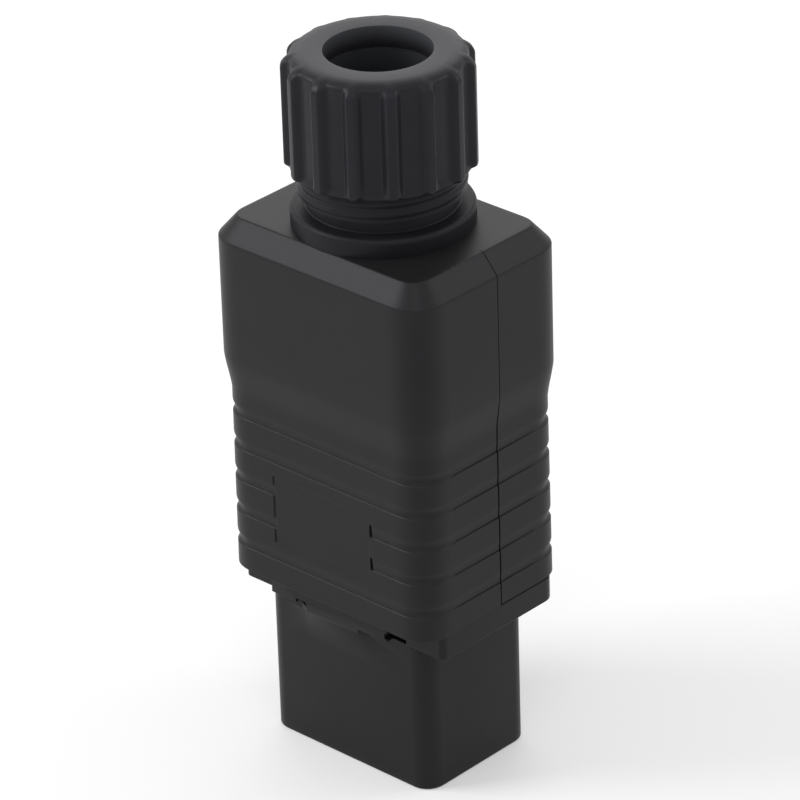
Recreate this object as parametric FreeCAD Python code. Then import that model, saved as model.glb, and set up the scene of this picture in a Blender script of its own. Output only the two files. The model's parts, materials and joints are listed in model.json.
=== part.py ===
import FreeCAD, Part
import math
import os

# A rewireable C19 power connector, standing on its nose with the cable gland up.
# Millimetres. The origin is the centre of the mating face and +Z runs up to the gland.
# X is the wide direction and Y the depth. The front shell faces -Y.

# Nose of the contact carrier, which enters the appliance inlet
NOSE_WIDTH = 28.9
NOSE_DEPTH = 20.1
NOSE_CORNER = 2.8
NOSE_LENGTH = 22.0
NOSE_EDGE = 0.3

# Flange of the carrier, seen below the housing, and the pad on its front
FLANGE_SIDE = 3.5
FLANGE_FRONT = 0.1
FLANGE_REAR = 2.1
FLANGE_HEIGHT = 3.4
FLANGE_CORNER = 2.2
PAD_LEFT = -12.6
PAD_RIGHT = 8.4
PAD_DEPTH = 0.85
PAD_DROP = 0.4
PAD_FLARE_LEFT = -6.3
PAD_FLARE_RIGHT = 3.0
PAD_FLARE_RISE = 0.6
PAD_FLARE_DROP = 2.6
SMALL_NOTCH_X = -7.2
SMALL_NOTCH_WIDTH = 1.8
SMALL_NOTCH_HEIGHT = 0.6
LARGE_NOTCH_X = 9.8
LARGE_NOTCH_WIDTH = 3.7
LARGE_NOTCH_HEIGHT = 0.8
NOTCH_DEPTH = 2.2

# Housing outside
RIB_WIDTH = 36.1
RIB_DEPTH = 27.0
RIB_CORNER = 3.8
RIB_FLARE = 0.15
BODY_WIDTH = 37.5
BODY_DEPTH = 28.4
BODY_CORNER = 4.3
SMALLEST_CORNER = 0.6
LOWER_HEIGHT = 26.5
TAPER_HEIGHT = 5.2
UPPER_HEIGHT = 17.05
CHAMFER_HEIGHT = 2.8
CHAMFER_INSET = 2.36
FOOT_EDGE = 0.4
GROOVE_COUNT = 5
FIRST_GROOVE = 3.4
GROOVE_PITCH = 4.88
GROOVE_WIDTH = 1.9
GROOVE_DEPTH = 0.4
PANEL_WIDTH = 16.9
PANEL_HEIGHT = 9.9
PANEL_BOTTOM = 6.3
PANEL_CORNER = 1.5
PANEL_RECESS = 0.2

# Housing inside
WALL = 2.6
LIP_HEIGHT = 2.8
SHELF = 3.0
TOP_WALL = 2.5
PARTING_Y = 0.8
SEAM_WIDTH = 0.18
SEAM_DEPTH = 0.6

# Carrier inside the housing, and its contact chambers
COLLAR_HEIGHT = 3.0
POLE_PITCH = 13.0
ROW_PITCH = 8.0
SLOT_LENGTH = 8.6
SLOT_WIDTH = 2.9
SLOT_WALL = 1.6
SLOT_LEAD = 0.4
CHAMBER_WIDTH = 5.2

# Contacts
CONTACT_WIDTH = 7.6
CONTACT_STRIP = 0.6
CONTACT_LENGTH = 21.0
CONTACT_GAP = 1.6
CONTACT_PINCH = 0.85
CONTACT_MOUTH = 1.75
CONTACT_LIFT = 1.4
PINCH_SHARE = 0.14
STRAIGHT_SHARE = 0.5
TAIL_WIDTH = 4.0
TAIL_STRIP = 0.8

# Terminals and the guard plate between them
BLOCK_WIDTH = 5.8
BLOCK_DEPTH = 6.4
BLOCK_HEIGHT = 8.0
WINDOW_WIDTH = 4.3
WINDOW_DEPTH = 3.6
WIRE_SCREW_R = 1.7
WIRE_HEAD_R = 2.4
WIRE_HEAD_HEIGHT = 1.6
WIRE_SCREW_REACH = 0.6
DRIVER_SLOT = 0.8
GUARD_PLATE = 2.0
GUARD_WALL = 1.0
GUARD_WALL_HEIGHT = 8.6
GUARD_SCREW_MARGIN = 1.25
GUARD_SCREW_Y = 5.5
GUARD_SCREW_R = 1.2
GUARD_SCREW_LENGTH = 9.0
GUARD_HEAD_R = 2.2
GUARD_HEAD_HEIGHT = 1.5

# Screws that close the two shells, driven from the rear
BOSS_R = 2.7
SCREW_X = 12.9
LOW_SCREW_Z = 47.2
HIGH_SCREW_Z = 62.4
SCREW_R = 1.4
SCREW_LENGTH = 17.0
HEAD_R = 2.8
HEAD_HEIGHT = 2.0
HEAD_SEAT_Y = 11.0
DRIVER_WIDTH = 0.9
CROSS_SHARE = 0.6

# Gland body
PLATE_WIDTH = 26.0
PLATE_DEPTH = 22.0
PLATE_CORNER = 3.0
PLATE_HEIGHT = 4.0
SLEEVE_R = 9.0
SLEEVE_DROP = 1.5
NECK_R = 9.9
COLLAR_R = 12.1
GLAND_COLLAR_HEIGHT = 2.1
GLAND_COLLAR_EDGE = 0.95
RELIEF_HEIGHT = 1.7
THREAD_R = 11.1
THREAD_BEVEL = 0.8
THREAD_LENGTH = 10.1
PASSAGE_R = 6.6
SEAL_SEAT_DEPTH = 9.0
SEAL_SEAT_R = 8.3

# Rubber seal
SEAL_BORE_R = 5.6
SEAL_HEIGHT = 8.4
SEAL_EDGE = 0.6

# Gland nut, with its ribs, and the slip ring in it
NUT_GAP = 6.05
NUT_HEIGHT = 15.8
NUT_R = 11.6
NUT_FOOT_EDGE = 0.25
NUT_SHOULDER = 0.55
NUT_TOP_INSET = 0.6
NUT_BORE_R = 7.1
NUT_RIM = 0.8
NUT_ROOF = 3.0
RING_SEAT_DEPTH = 1.6
RING_SEAT_R = 10.3
RIB_COUNT = 15
RIB_PHASE = 8.0
RIB_R = 12.57
RIB_BASE = 2.7
RIB_FACE = 1.6
RIB_ROOT = 2.2
RIB_TIP = 1.4
RIB_END_R = 11.3
RIB_END_DROP = 0.05
RING_BORE_R = 7.3
RING_PLATE = 1.15
RING_HUB_R = 8.0
RING_HUB = 2.9

# Clearances
FIT = 0.15
SEAT_GAP = 0.1
THREAD_FIT = 0.06
RING_FIT = 0.05
PILOT_FIT = 0.02
PILOT_REST = 0.5
SPARE = 1.0

# Heights that follow from the sizes above
FLANGE_TOP = NOSE_LENGTH + FLANGE_HEIGHT
HOUSING_BOTTOM = FLANGE_TOP + SEAT_GAP
LIP_TOP = HOUSING_BOTTOM + LIP_HEIGHT
CARRIER_TOP = LIP_TOP + SEAT_GAP + COLLAR_HEIGHT
GUARD_TOP = CARRIER_TOP + GUARD_PLATE
RIB_TOP = HOUSING_BOTTOM + LOWER_HEIGHT
TAPER_TOP = RIB_TOP + TAPER_HEIGHT
CHAMFER_BOTTOM = TAPER_TOP + UPPER_HEIGHT
HOUSING_TOP = CHAMFER_BOTTOM + CHAMFER_HEIGHT
POCKET_TOP = HOUSING_TOP - TOP_WALL
POCKET_BOTTOM = POCKET_TOP - PLATE_HEIGHT - SEAT_GAP
CHAMBER_TOP = POCKET_BOTTOM - SHELF
COLLAR_TOP = HOUSING_TOP + GLAND_COLLAR_HEIGHT
THREAD_BOTTOM = COLLAR_TOP + RELIEF_HEIGHT
NECK_TOP = THREAD_BOTTOM + THREAD_LENGTH
SEAL_BOTTOM = NECK_TOP - SEAL_SEAT_DEPTH
NUT_BOTTOM = COLLAR_TOP + NUT_GAP
NUT_TOP = NUT_BOTTOM + NUT_HEIGHT
ROOF_BOTTOM = NUT_TOP - NUT_ROOF

# Inside of the housing, and the carrier's collar in it
CAVITY_WIDTH = RIB_WIDTH - 2 * WALL
CAVITY_DEPTH = RIB_DEPTH - 2 * WALL
CAVITY_CORNER = max(RIB_CORNER - WALL, SMALLEST_CORNER)
COLLAR_WIDTH = CAVITY_WIDTH - 2 * FIT
COLLAR_DEPTH = CAVITY_DEPTH - 2 * FIT

# The guard's screws stand midway between what the nose and what the shells' walls leave for them
NOSE_REACH = NOSE_WIDTH / 2 - GUARD_SCREW_R
WALL_REACH = CAVITY_WIDTH / 2 - GUARD_HEAD_R
GUARD_SCREW_X = (NOSE_REACH + WALL_REACH) / 2 - GUARD_SCREW_MARGIN

# A groove's section, as shares of its width and depth from its lower edge up
GROOVE_SECTION = ((0.0, 0.0), (0.17, 0.8), (0.3, 1.0), (0.45, 0.85), (1.0, 0.0))

# The three poles: name, place in X and Y, and the side that its wire screw faces
POLES = (
    ("line", -POLE_PITCH / 2, -ROW_PITCH / 2, -1),
    ("neutral", POLE_PITCH / 2, -ROW_PITCH / 2, -1),
    ("earth", 0.0, ROW_PITCH / 2, 1),
)
UP = FreeCAD.Vector(0, 0, 1)


def vector(x, y, z):
    return FreeCAD.Vector(x, y, z)


def outline(width, depth, corner, z, y=0.0):
    """A closed rounded rectangle around the Z axis, moved by y."""
    half_x = width / 2
    half_y = depth / 2
    inner_x = half_x - corner
    inner_y = half_y - corner
    short = corner * (1 - math.sqrt(0.5))
    edges = []
    for sx, sy in ((1, 1), (-1, 1), (-1, -1), (1, -1)):
        on_side = vector(sx * half_x, y + sy * inner_y, z)
        on_end = vector(sx * inner_x, y + sy * half_y, z)
        middle = vector(sx * (half_x - short), y + sy * (half_y - short), z)
        first, last = (on_side, on_end) if sx == sy else (on_end, on_side)
        edges.append(Part.Arc(first, middle, last).toShape())
        if sx == sy:
            edges.append(Part.LineSegment(last, vector(-sx * inner_x, y + sy * half_y, z)).toShape())
        else:
            edges.append(Part.LineSegment(last, vector(sx * half_x, y - sy * inner_y, z)).toShape())
    return Part.Wire(edges)


def prism(width, depth, corner, low, high, y=0.0):
    """An upright rounded block from height low to height high."""
    face = Part.Face(outline(width, depth, corner, low, y))
    return face.extrude(vector(0, 0, high - low))


def box(x_low, x_high, y_low, y_high, z_low, z_high):
    return Part.makeBox(x_high - x_low, y_high - y_low, z_high - z_low, vector(x_low, y_low, z_low))


def post(radius, low, high, x=0.0, y=0.0):
    """An upright cylinder."""
    return Part.makeCylinder(radius, high - low, vector(x, y, low), UP)


def rod(radius, y_low, y_high, x, z):
    """A cylinder along Y."""
    return Part.makeCylinder(radius, y_high - y_low, vector(x, y_low, z), vector(0, 1, 0))


def turned(points):
    """A solid turned around Z. Each item of points is (r, z), or ((r, z) on an arc, (r, z) at its end)."""
    edges = []
    start = vector(points[0][0], 0, points[0][1])
    here = start
    for item in points[1:] + [points[0]]:
        if isinstance(item[0], tuple):
            middle = vector(item[0][0], 0, item[0][1])
            end = vector(item[1][0], 0, item[1][1])
            edges.append(Part.Arc(here, middle, end).toShape())
        else:
            end = vector(item[0], 0, item[1])
            edges.append(Part.LineSegment(here, end).toShape())
        here = end
    return Part.Face(Part.Wire(edges)).revolve(vector(0, 0, 0), UP, 360)


def round_to(r, z, end_r, end_z):
    """The arc of a rounded edge, for turned(): it leaves (r, z) upright and ends level at (end_r, end_z)."""
    share = 1 - math.sqrt(0.5)
    return ((r + (end_r - r) * share, end_z + (z - end_z) * share), (end_r, end_z))


def strip(path, thickness, x_low, x_high):
    """A folded strip: path is a list of (y, z) along its inner face, and it thickens to the left."""
    outer = []
    for i, (y, z) in enumerate(path):
        before = path[max(i - 1, 0)]
        after = path[min(i + 1, len(path) - 1)]
        normals = []
        for a, b in ((before, (y, z)), ((y, z), after)):
            length = math.hypot(b[0] - a[0], b[1] - a[1])
            if length > 0:
                normals.append((-(b[1] - a[1]) / length, (b[0] - a[0]) / length))
        sum_y = sum(n[0] for n in normals)
        sum_z = sum(n[1] for n in normals)
        scale = 2 * thickness / (sum_y ** 2 + sum_z ** 2) if len(normals) == 2 else thickness
        outer.append((y + sum_y * scale, z + sum_z * scale))
    corners = [vector(x_low, y, z) for y, z in list(path) + outer[::-1]]
    face = Part.Face(Part.makePolygon(corners + corners[:1]))
    return face.extrude(vector(x_high - x_low, 0, 0))


def housing_levels(inset):
    """The housing's outline at each height, as (z, width, depth, corner), drawn in by inset."""
    levels = [(HOUSING_BOTTOM, RIB_WIDTH, RIB_DEPTH, RIB_CORNER, FOOT_EDGE)]
    levels.append((HOUSING_BOTTOM + FOOT_EDGE, RIB_WIDTH, RIB_DEPTH, RIB_CORNER, 0.0))
    for i in range(GROOVE_COUNT):
        base = HOUSING_BOTTOM + FIRST_GROOVE + i * GROOVE_PITCH
        for rise, share in GROOVE_SECTION:
            z = base + rise * GROOVE_WIDTH
            levels.append((z, RIB_WIDTH, RIB_DEPTH, RIB_CORNER, share * GROOVE_DEPTH))
    levels.append((RIB_TOP, RIB_WIDTH, RIB_DEPTH, RIB_CORNER, 0.0))
    levels.append((TAPER_TOP, BODY_WIDTH, BODY_DEPTH, BODY_CORNER, 0.0))
    levels.append((CHAMFER_BOTTOM, BODY_WIDTH, BODY_DEPTH, BODY_CORNER, 0.0))
    levels.append((HOUSING_TOP, BODY_WIDTH, BODY_DEPTH, BODY_CORNER, CHAMFER_INSET))
    drawn = []
    for z, width, depth, corner, step in levels:
        flare = RIB_FLARE * max(RIB_TOP - z, 0.0) / LOWER_HEIGHT
        less = 2 * (step + inset - flare)
        drawn.append((z, width - less, depth - less, max(corner - step - inset, SMALLEST_CORNER)))
    return drawn


def tower(levels):
    """A solid with straight walls between the outlines of levels."""
    wires = [outline(width, depth, corner, z) for z, width, depth, corner in levels]
    return Part.makeLoft(wires, True, True)


def panel_block(front, back):
    """The label panel's outline as a block from y = front to y = back."""
    bottom = HOUSING_BOTTOM + PANEL_BOTTOM
    flat = prism(PANEL_WIDTH, PANEL_HEIGHT, PANEL_CORNER, -back, -front)
    flat.rotate(vector(0, 0, 0), vector(1, 0, 0), 90)
    flat.translate(vector(0, 0, bottom + PANEL_HEIGHT / 2))
    return flat


def screw_places():
    return [(side * SCREW_X, z) for z in (LOW_SCREW_Z, HIGH_SCREW_Z) for side in (-1, 1)]


def housing():
    """Both shells in one: the walls, the lip round the carrier, the gland's seat and the screw posts."""
    face_y = -RIB_DEPTH / 2
    body = tower(housing_levels(0.0))
    body = body.fuse(panel_block(face_y, face_y + 2 * GROOVE_DEPTH))
    body = body.cut(panel_block(face_y - SPARE, face_y + PANEL_RECESS))
    way = (HOUSING_BOTTOM - SPARE, LIP_TOP + SPARE)
    lip = prism(NOSE_WIDTH + 2 * FIT, NOSE_DEPTH + 2 * FIT, NOSE_CORNER, *way)
    room = prism(CAVITY_WIDTH, CAVITY_DEPTH, CAVITY_CORNER, LIP_TOP, CHAMBER_TOP)
    for x, z in screw_places():
        room = room.cut(rod(BOSS_R, -RIB_DEPTH / 2, RIB_DEPTH / 2, x, z))
    pocket = prism(PLATE_WIDTH + 2 * FIT, PLATE_DEPTH + 2 * FIT, PLATE_CORNER, POCKET_BOTTOM, POCKET_TOP)
    hollow = [room, pocket]
    hollow.append(post(SLEEVE_R + FIT, CHAMBER_TOP - SPARE, POCKET_BOTTOM + SPARE))
    hollow.append(post(NECK_R + FIT, POCKET_TOP - SPARE, HOUSING_TOP + SPARE))
    return body.cut(lip).cut(hollow)


def front_shell(whole):
    far = BODY_WIDTH + BODY_DEPTH
    shell = whole.common(box(-far, far, -far, PARTING_Y, -far, HOUSING_TOP + far))
    tip = HEAD_SEAT_Y - SCREW_LENGTH
    pilots = []
    for x, z in screw_places():
        pilots.append(rod(SCREW_R + PILOT_FIT, tip - PILOT_REST, PARTING_Y + SPARE, x, z))
    return shell.cut(pilots)


def rear_shell(whole):
    far = BODY_WIDTH + BODY_DEPTH
    shell = whole.common(box(-far, far, PARTING_Y, far, -far, HOUSING_TOP + far))
    line = box(-far, far, PARTING_Y, PARTING_Y + SEAM_WIDTH, -far, HOUSING_TOP + far)
    core = tower(housing_levels(SEAM_DEPTH))
    holes = [line.cut(core).common(tower(housing_levels(-SPARE)))]
    for x, z in screw_places():
        holes.append(rod(SCREW_R + 2 * FIT, PARTING_Y - SPARE, HEAD_SEAT_Y + SPARE, x, z))
        holes.append(rod(HEAD_R + 2 * FIT, HEAD_SEAT_Y, far, x, z))
    return shell.cut(holes)


def shell_screws():
    """Four separate cheese-head screws, heads towards +Y, with a cross in each head."""
    screws = []
    tip = HEAD_SEAT_Y - SCREW_LENGTH
    top = HEAD_SEAT_Y + HEAD_HEIGHT
    floor = top - HEAD_HEIGHT / 2
    arm = HEAD_R * CROSS_SHARE
    half = DRIVER_WIDTH / 2
    for x, z in screw_places():
        screw = rod(SCREW_R, tip, HEAD_SEAT_Y, x, z).fuse(rod(HEAD_R, HEAD_SEAT_Y, top, x, z))
        cross = [box(x - arm, x + arm, floor, top + SPARE, z - half, z + half)]
        cross.append(box(x - half, x + half, floor, top + SPARE, z - arm, z + arm))
        screws.append(screw.cut(cross))
    return Part.makeCompound(screws)


def contact_carrier():
    """The one-piece insert: nose, flange, waist in the shells' lip, and the collar above the lip."""
    rise = NOSE_EDGE
    drawn = (NOSE_WIDTH - 2 * rise, NOSE_DEPTH - 2 * rise, NOSE_CORNER - rise)
    full = (NOSE_WIDTH, NOSE_DEPTH, NOSE_CORNER)
    body = tower([(0.0, *drawn), (rise, *full), (CARRIER_TOP, *full)])
    flange_y = (FLANGE_REAR - FLANGE_FRONT) / 2
    flange_width = NOSE_WIDTH + 2 * FLANGE_SIDE
    flange_depth = NOSE_DEPTH + FLANGE_FRONT + FLANGE_REAR
    flange = prism(flange_width, flange_depth, FLANGE_CORNER, NOSE_LENGTH, FLANGE_TOP, flange_y)
    collar = prism(COLLAR_WIDTH, COLLAR_DEPTH, CAVITY_CORNER, CARRIER_TOP - COLLAR_HEIGHT, CARRIER_TOP)
    body = body.fuse([flange, collar] + pads())
    face = -NOSE_DEPTH / 2
    notch_y = (face - PAD_DEPTH - SPARE, face + NOTCH_DEPTH)
    half = SMALL_NOTCH_WIDTH / 2
    low = NOSE_LENGTH - PAD_DROP
    notch_x = (SMALL_NOTCH_X - half, SMALL_NOTCH_X + half)
    cuts = [box(*notch_x, *notch_y, low, low + SMALL_NOTCH_HEIGHT)]
    half = LARGE_NOTCH_WIDTH / 2
    notch_x = (LARGE_NOTCH_X - half, LARGE_NOTCH_X + half)
    cuts.append(box(*notch_x, *notch_y, NOSE_LENGTH, NOSE_LENGTH + LARGE_NOTCH_HEIGHT))
    long = SLOT_LENGTH / 2
    deep = SLOT_WIDTH / 2
    wide = CHAMBER_WIDTH / 2
    for name, x, y, side in POLES:
        cuts.append(box(x - long, x + long, y - deep, y + deep, -SPARE, SLOT_WALL + SPARE))
        cuts.append(box(x - long, x + long, y - wide, y + wide, SLOT_WALL, CARRIER_TOP + SPARE))
        cuts.append(lead_in(x, y))
    bottom = GUARD_TOP - GUARD_SCREW_LENGTH - PILOT_REST
    for x in (-GUARD_SCREW_X, GUARD_SCREW_X):
        cuts.append(post(GUARD_SCREW_R + PILOT_FIT, bottom, CARRIER_TOP + SPARE, x, GUARD_SCREW_Y))
    return body.cut(cuts)


def pads():
    """The low pad on the flange's front, whose middle part runs out on the nose."""
    face = -NOSE_DEPTH / 2
    front = face - PAD_DEPTH
    low = NOSE_LENGTH - PAD_DROP
    blocks = [box(PAD_LEFT, PAD_FLARE_LEFT, front, face, low, FLANGE_TOP)]
    blocks.append(box(PAD_FLARE_RIGHT, PAD_RIGHT, front, face, low, FLANGE_TOP))
    section = [(face, FLANGE_TOP), (front, FLANGE_TOP), (front, NOSE_LENGTH + PAD_FLARE_RISE)]
    section.append((face, NOSE_LENGTH - PAD_FLARE_DROP))
    corners = [vector(PAD_FLARE_LEFT, y, z) for y, z in section]
    flare = Part.Face(Part.makePolygon(corners + corners[:1]))
    blocks.append(flare.extrude(vector(PAD_FLARE_RIGHT - PAD_FLARE_LEFT, 0, 0)))
    return blocks


def lead_in(x, y):
    """The bevel round a slot's mouth."""
    wires = []
    for z, grow in ((-SLOT_LEAD, 2 * SLOT_LEAD), (SLOT_LEAD, 0.0)):
        a = SLOT_LENGTH / 2 + grow
        b = SLOT_WIDTH / 2 + grow
        ring = [vector(x + sx * a, y + sy * b, z) for sx, sy in ((-1, -1), (1, -1), (1, 1), (-1, 1))]
        wires.append(Part.makePolygon(ring + ring[:1]))
    return Part.makeLoft(wires, True, True)


def contact(x, y, side):
    """A folded female contact: two sprung leaves joined at the top, and a tail up to the terminal."""
    bottom = SLOT_WALL + CONTACT_LIFT
    top = bottom + CONTACT_LENGTH
    pinch = bottom + CONTACT_LENGTH * PINCH_SHARE
    straight = bottom + CONTACT_LENGTH * STRAIGHT_SHARE
    half = [(CONTACT_MOUTH, bottom), (CONTACT_PINCH, pinch), (CONTACT_GAP, straight), (CONTACT_GAP, top)]
    path = [(y - across, z) for across, z in half] + [(y + across, z) for across, z in half[::-1]]
    leaves = strip(path, CONTACT_STRIP, x - CONTACT_WIDTH / 2, x + CONTACT_WIDTH / 2)
    tail_y = tail_centre(y, side)
    low = tail_y - TAIL_STRIP / 2
    tail = box(x - TAIL_WIDTH / 2, x + TAIL_WIDTH / 2, low, low + TAIL_STRIP, top, GUARD_TOP + BLOCK_HEIGHT)
    return leaves.fuse(tail)


def tail_centre(y, side):
    """The tail lies on the wall of the terminal's window that the wire screw presses towards."""
    return y - side * (WINDOW_DEPTH / 2 - TAIL_STRIP / 2)


def terminal(x, y, side):
    """A brass block with a window for tail and wire, and a screw hole from one side."""
    block = box(x - BLOCK_WIDTH / 2, x + BLOCK_WIDTH / 2, y - BLOCK_DEPTH / 2, y + BLOCK_DEPTH / 2,
                GUARD_TOP, GUARD_TOP + BLOCK_HEIGHT)
    window = box(x - WINDOW_WIDTH / 2, x + WINDOW_WIDTH / 2, y - WINDOW_DEPTH / 2, y + WINDOW_DEPTH / 2,
                 GUARD_TOP - SPARE, GUARD_TOP + BLOCK_HEIGHT + SPARE)
    ends = sorted((y, y + side * BLOCK_DEPTH))
    hole = rod(WIRE_SCREW_R + PILOT_FIT, ends[0], ends[1], x, GUARD_TOP + BLOCK_HEIGHT / 2)
    return block.cut([window, hole])


def wire_screw(x, y, side):
    """The screw that clamps a wire on the contact's tail, with a slotted head."""
    face = y + side * BLOCK_DEPTH / 2
    tip = y + side * (WINDOW_DEPTH / 2 - WIRE_SCREW_REACH)
    top = face + side * WIRE_HEAD_HEIGHT
    z = GUARD_TOP + BLOCK_HEIGHT / 2
    shank = rod(WIRE_SCREW_R, min(tip, face), max(tip, face), x, z)
    head = rod(WIRE_HEAD_R, min(face, top), max(face, top), x, z)
    bottom_of_slot = face + side * WIRE_HEAD_HEIGHT / 2
    ends = sorted((bottom_of_slot, top + side * SPARE))
    half = DRIVER_SLOT / 2
    slot = box(x - WIRE_HEAD_R, x + WIRE_HEAD_R, *ends, z - half, z + half)
    return shank.fuse(head).cut(slot)


def terminal_guard():
    """The insulating plate on the carrier, with walls between the three terminals."""
    plate = prism(COLLAR_WIDTH, COLLAR_DEPTH, CAVITY_CORNER, CARRIER_TOP, GUARD_TOP)
    half = GUARD_WALL / 2
    top = GUARD_TOP + GUARD_WALL_HEIGHT
    reach_x = COLLAR_WIDTH / 2 - CAVITY_CORNER
    across = box(-reach_x, reach_x, -half, half, GUARD_TOP, top)
    between = box(-half, half, -COLLAR_DEPTH / 2 + CAVITY_CORNER, -half, GUARD_TOP, top)
    body = plate.fuse([across, between])
    cuts = []
    for name, x, y, side in POLES:
        middle = tail_centre(y, side)
        wide = TAIL_WIDTH / 2 + SEAT_GAP
        deep = TAIL_STRIP / 2 + SEAT_GAP
        ends = (CARRIER_TOP - SPARE, GUARD_TOP + SPARE)
        cuts.append(box(x - wide, x + wide, middle - deep, middle + deep, *ends))
    for x in (-GUARD_SCREW_X, GUARD_SCREW_X):
        hole = post(GUARD_SCREW_R + FIT, CARRIER_TOP - SPARE, GUARD_TOP + SPARE, x, GUARD_SCREW_Y)
        cuts.append(hole)
    return body.cut(cuts)


def guard_screws():
    """Two separate screws that hold the guard plate on the carrier."""
    screws = []
    top = GUARD_TOP + GUARD_HEAD_HEIGHT
    floor = top - GUARD_HEAD_HEIGHT / 2
    slot_y = (GUARD_SCREW_Y - DRIVER_SLOT / 2, GUARD_SCREW_Y + DRIVER_SLOT / 2)
    for x in (-GUARD_SCREW_X, GUARD_SCREW_X):
        screw = post(GUARD_SCREW_R, GUARD_TOP - GUARD_SCREW_LENGTH, GUARD_TOP, x, GUARD_SCREW_Y)
        screw = screw.fuse(post(GUARD_HEAD_R, GUARD_TOP, top, x, GUARD_SCREW_Y))
        slot = box(x - GUARD_HEAD_R, x + GUARD_HEAD_R, *slot_y, floor, top + SPARE)
        screws.append(screw.cut(slot))
    return Part.makeCompound(screws)


def gland_body():
    """Captured plate, collar and threaded neck in one piece. Its fine thread is a plain cylinder here."""
    plate = prism(PLATE_WIDTH, PLATE_DEPTH, PLATE_CORNER, POCKET_BOTTOM, POCKET_BOTTOM + PLATE_HEIGHT)
    bottom = CHAMBER_TOP - SLEEVE_DROP
    edge = GLAND_COLLAR_EDGE
    step = POCKET_BOTTOM + PLATE_HEIGHT / 2
    neck = turned([
        (PASSAGE_R, bottom), (SLEEVE_R, bottom), (SLEEVE_R, step), (NECK_R, step),
        (NECK_R, HOUSING_TOP), (COLLAR_R, HOUSING_TOP), (COLLAR_R, COLLAR_TOP - edge),
        round_to(COLLAR_R, COLLAR_TOP - edge, COLLAR_R - edge, COLLAR_TOP),
        (NECK_R, COLLAR_TOP), (NECK_R, THREAD_BOTTOM - THREAD_BEVEL), (THREAD_R, THREAD_BOTTOM),
        (THREAD_R, NECK_TOP - THREAD_BEVEL), (THREAD_R - THREAD_BEVEL, NECK_TOP),
        (SEAL_SEAT_R, NECK_TOP), (SEAL_SEAT_R, SEAL_BOTTOM), (PASSAGE_R, SEAL_BOTTOM),
    ])
    return plate.cut(post(PASSAGE_R + SPARE, bottom - SPARE, POCKET_TOP + SPARE)).fuse(neck)


def cable_seal():
    """The rubber bush that the slip ring squeezes onto the cable."""
    outer = SEAL_SEAT_R - SEAT_GAP
    top = SEAL_BOTTOM + SEAL_HEIGHT
    return turned([
        (SEAL_BORE_R, SEAL_BOTTOM), (outer, SEAL_BOTTOM), (outer, top), (SEAL_BORE_R + SEAL_EDGE, top),
        (SEAL_BORE_R, top - SEAL_EDGE),
    ])


def slip_ring():
    """The ring that turns in the nut's roof and presses on the seal."""
    top = ROOF_BOTTOM - RING_FIT
    step = top - RING_PLATE
    bottom = step - RING_HUB
    outer = RING_SEAT_R - RING_FIT
    return turned([
        (RING_BORE_R, bottom), (RING_HUB_R, bottom), (RING_HUB_R, step), (outer, step), (outer, top),
        (RING_BORE_R, top),
    ])


def gland_nut():
    """The dome nut: a turned body with ribs that run up it and round over at its top."""
    shoulder = NUT_TOP - NUT_SHOULDER
    inner_rim = NUT_RIM * (1 - math.sqrt(0.5))
    thread = THREAD_R + THREAD_FIT
    body = turned([
        (thread, NUT_BOTTOM), (NUT_R - NUT_FOOT_EDGE, NUT_BOTTOM), (NUT_R, NUT_BOTTOM + NUT_FOOT_EDGE),
        (NUT_R, shoulder), round_to(NUT_R, shoulder, NUT_R - NUT_TOP_INSET, NUT_TOP),
        (NUT_BORE_R + NUT_RIM, NUT_TOP),
        ((NUT_BORE_R + inner_rim, NUT_TOP - inner_rim), (NUT_BORE_R, NUT_TOP - NUT_RIM)),
        (NUT_BORE_R, ROOF_BOTTOM), (RING_SEAT_R, ROOF_BOTTOM), (RING_SEAT_R, ROOF_BOTTOM - RING_SEAT_DEPTH),
        (thread, ROOF_BOTTOM - RING_SEAT_DEPTH),
    ])
    tip = NUT_TOP - RIB_TIP
    end = NUT_TOP - RIB_END_DROP
    inner = (thread + NUT_R) / 2
    envelope = turned([
        (inner, NUT_BOTTOM), (RIB_R - NUT_FOOT_EDGE, NUT_BOTTOM), (RIB_R, NUT_BOTTOM + NUT_FOOT_EDGE),
        (RIB_R, tip), round_to(RIB_R, tip, RIB_END_R, end), (RIB_END_R, tip), (inner, tip),
    ])
    base = RIB_BASE / 2
    root = RIB_ROOT / 2
    face = RIB_FACE / 2
    section = [(thread - SPARE, base), (NUT_R, base), ((NUT_R + RIB_R) / 2, root), (RIB_R + SPARE, face)]
    section += [(r, -across) for r, across in section[::-1]]
    corners = [vector(r, across, NUT_BOTTOM - SPARE) for r, across in section]
    profile = Part.Face(Part.makePolygon(corners + corners[:1]))
    ribs = []
    for i in range(RIB_COUNT):
        rib = profile.extrude(vector(0, 0, NUT_HEIGHT + 2 * SPARE))
        rib.rotate(vector(0, 0, 0), UP, RIB_PHASE + i * 360 / RIB_COUNT)
        ribs.append(rib.common(envelope))
    return body.fuse(ribs)


def build():
    whole = housing()
    nodes = {
        "front_shell": front_shell(whole),
        "rear_shell": rear_shell(whole),
        "shell_screws": shell_screws(),
        "contact_carrier": contact_carrier(),
        "terminal_guard": terminal_guard(),
        "guard_screws": guard_screws(),
        "gland_body": gland_body(),
        "cable_seal": cable_seal(),
        "slip_ring": slip_ring(),
        "gland_nut": gland_nut(),
    }
    for name, x, y, side in POLES:
        nodes[name + "_contact"] = contact(x, y, side)
        nodes[name + "_terminal"] = terminal(x, y, side)
        nodes[name + "_wire_screw"] = wire_screw(x, y, side)
    return nodes


os.makedirs("parts", exist_ok=True)
for node, shape in build().items():
    shape.exportStep(os.path.join("parts", node + ".step"))
    print(node, len(shape.Solids), "solids", round(shape.Volume, 1), "mm3", shape.isValid())
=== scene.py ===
"""Looks of a rewireable power connector: two shells, a contact carrier and a threaded cable gland."""

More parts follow.
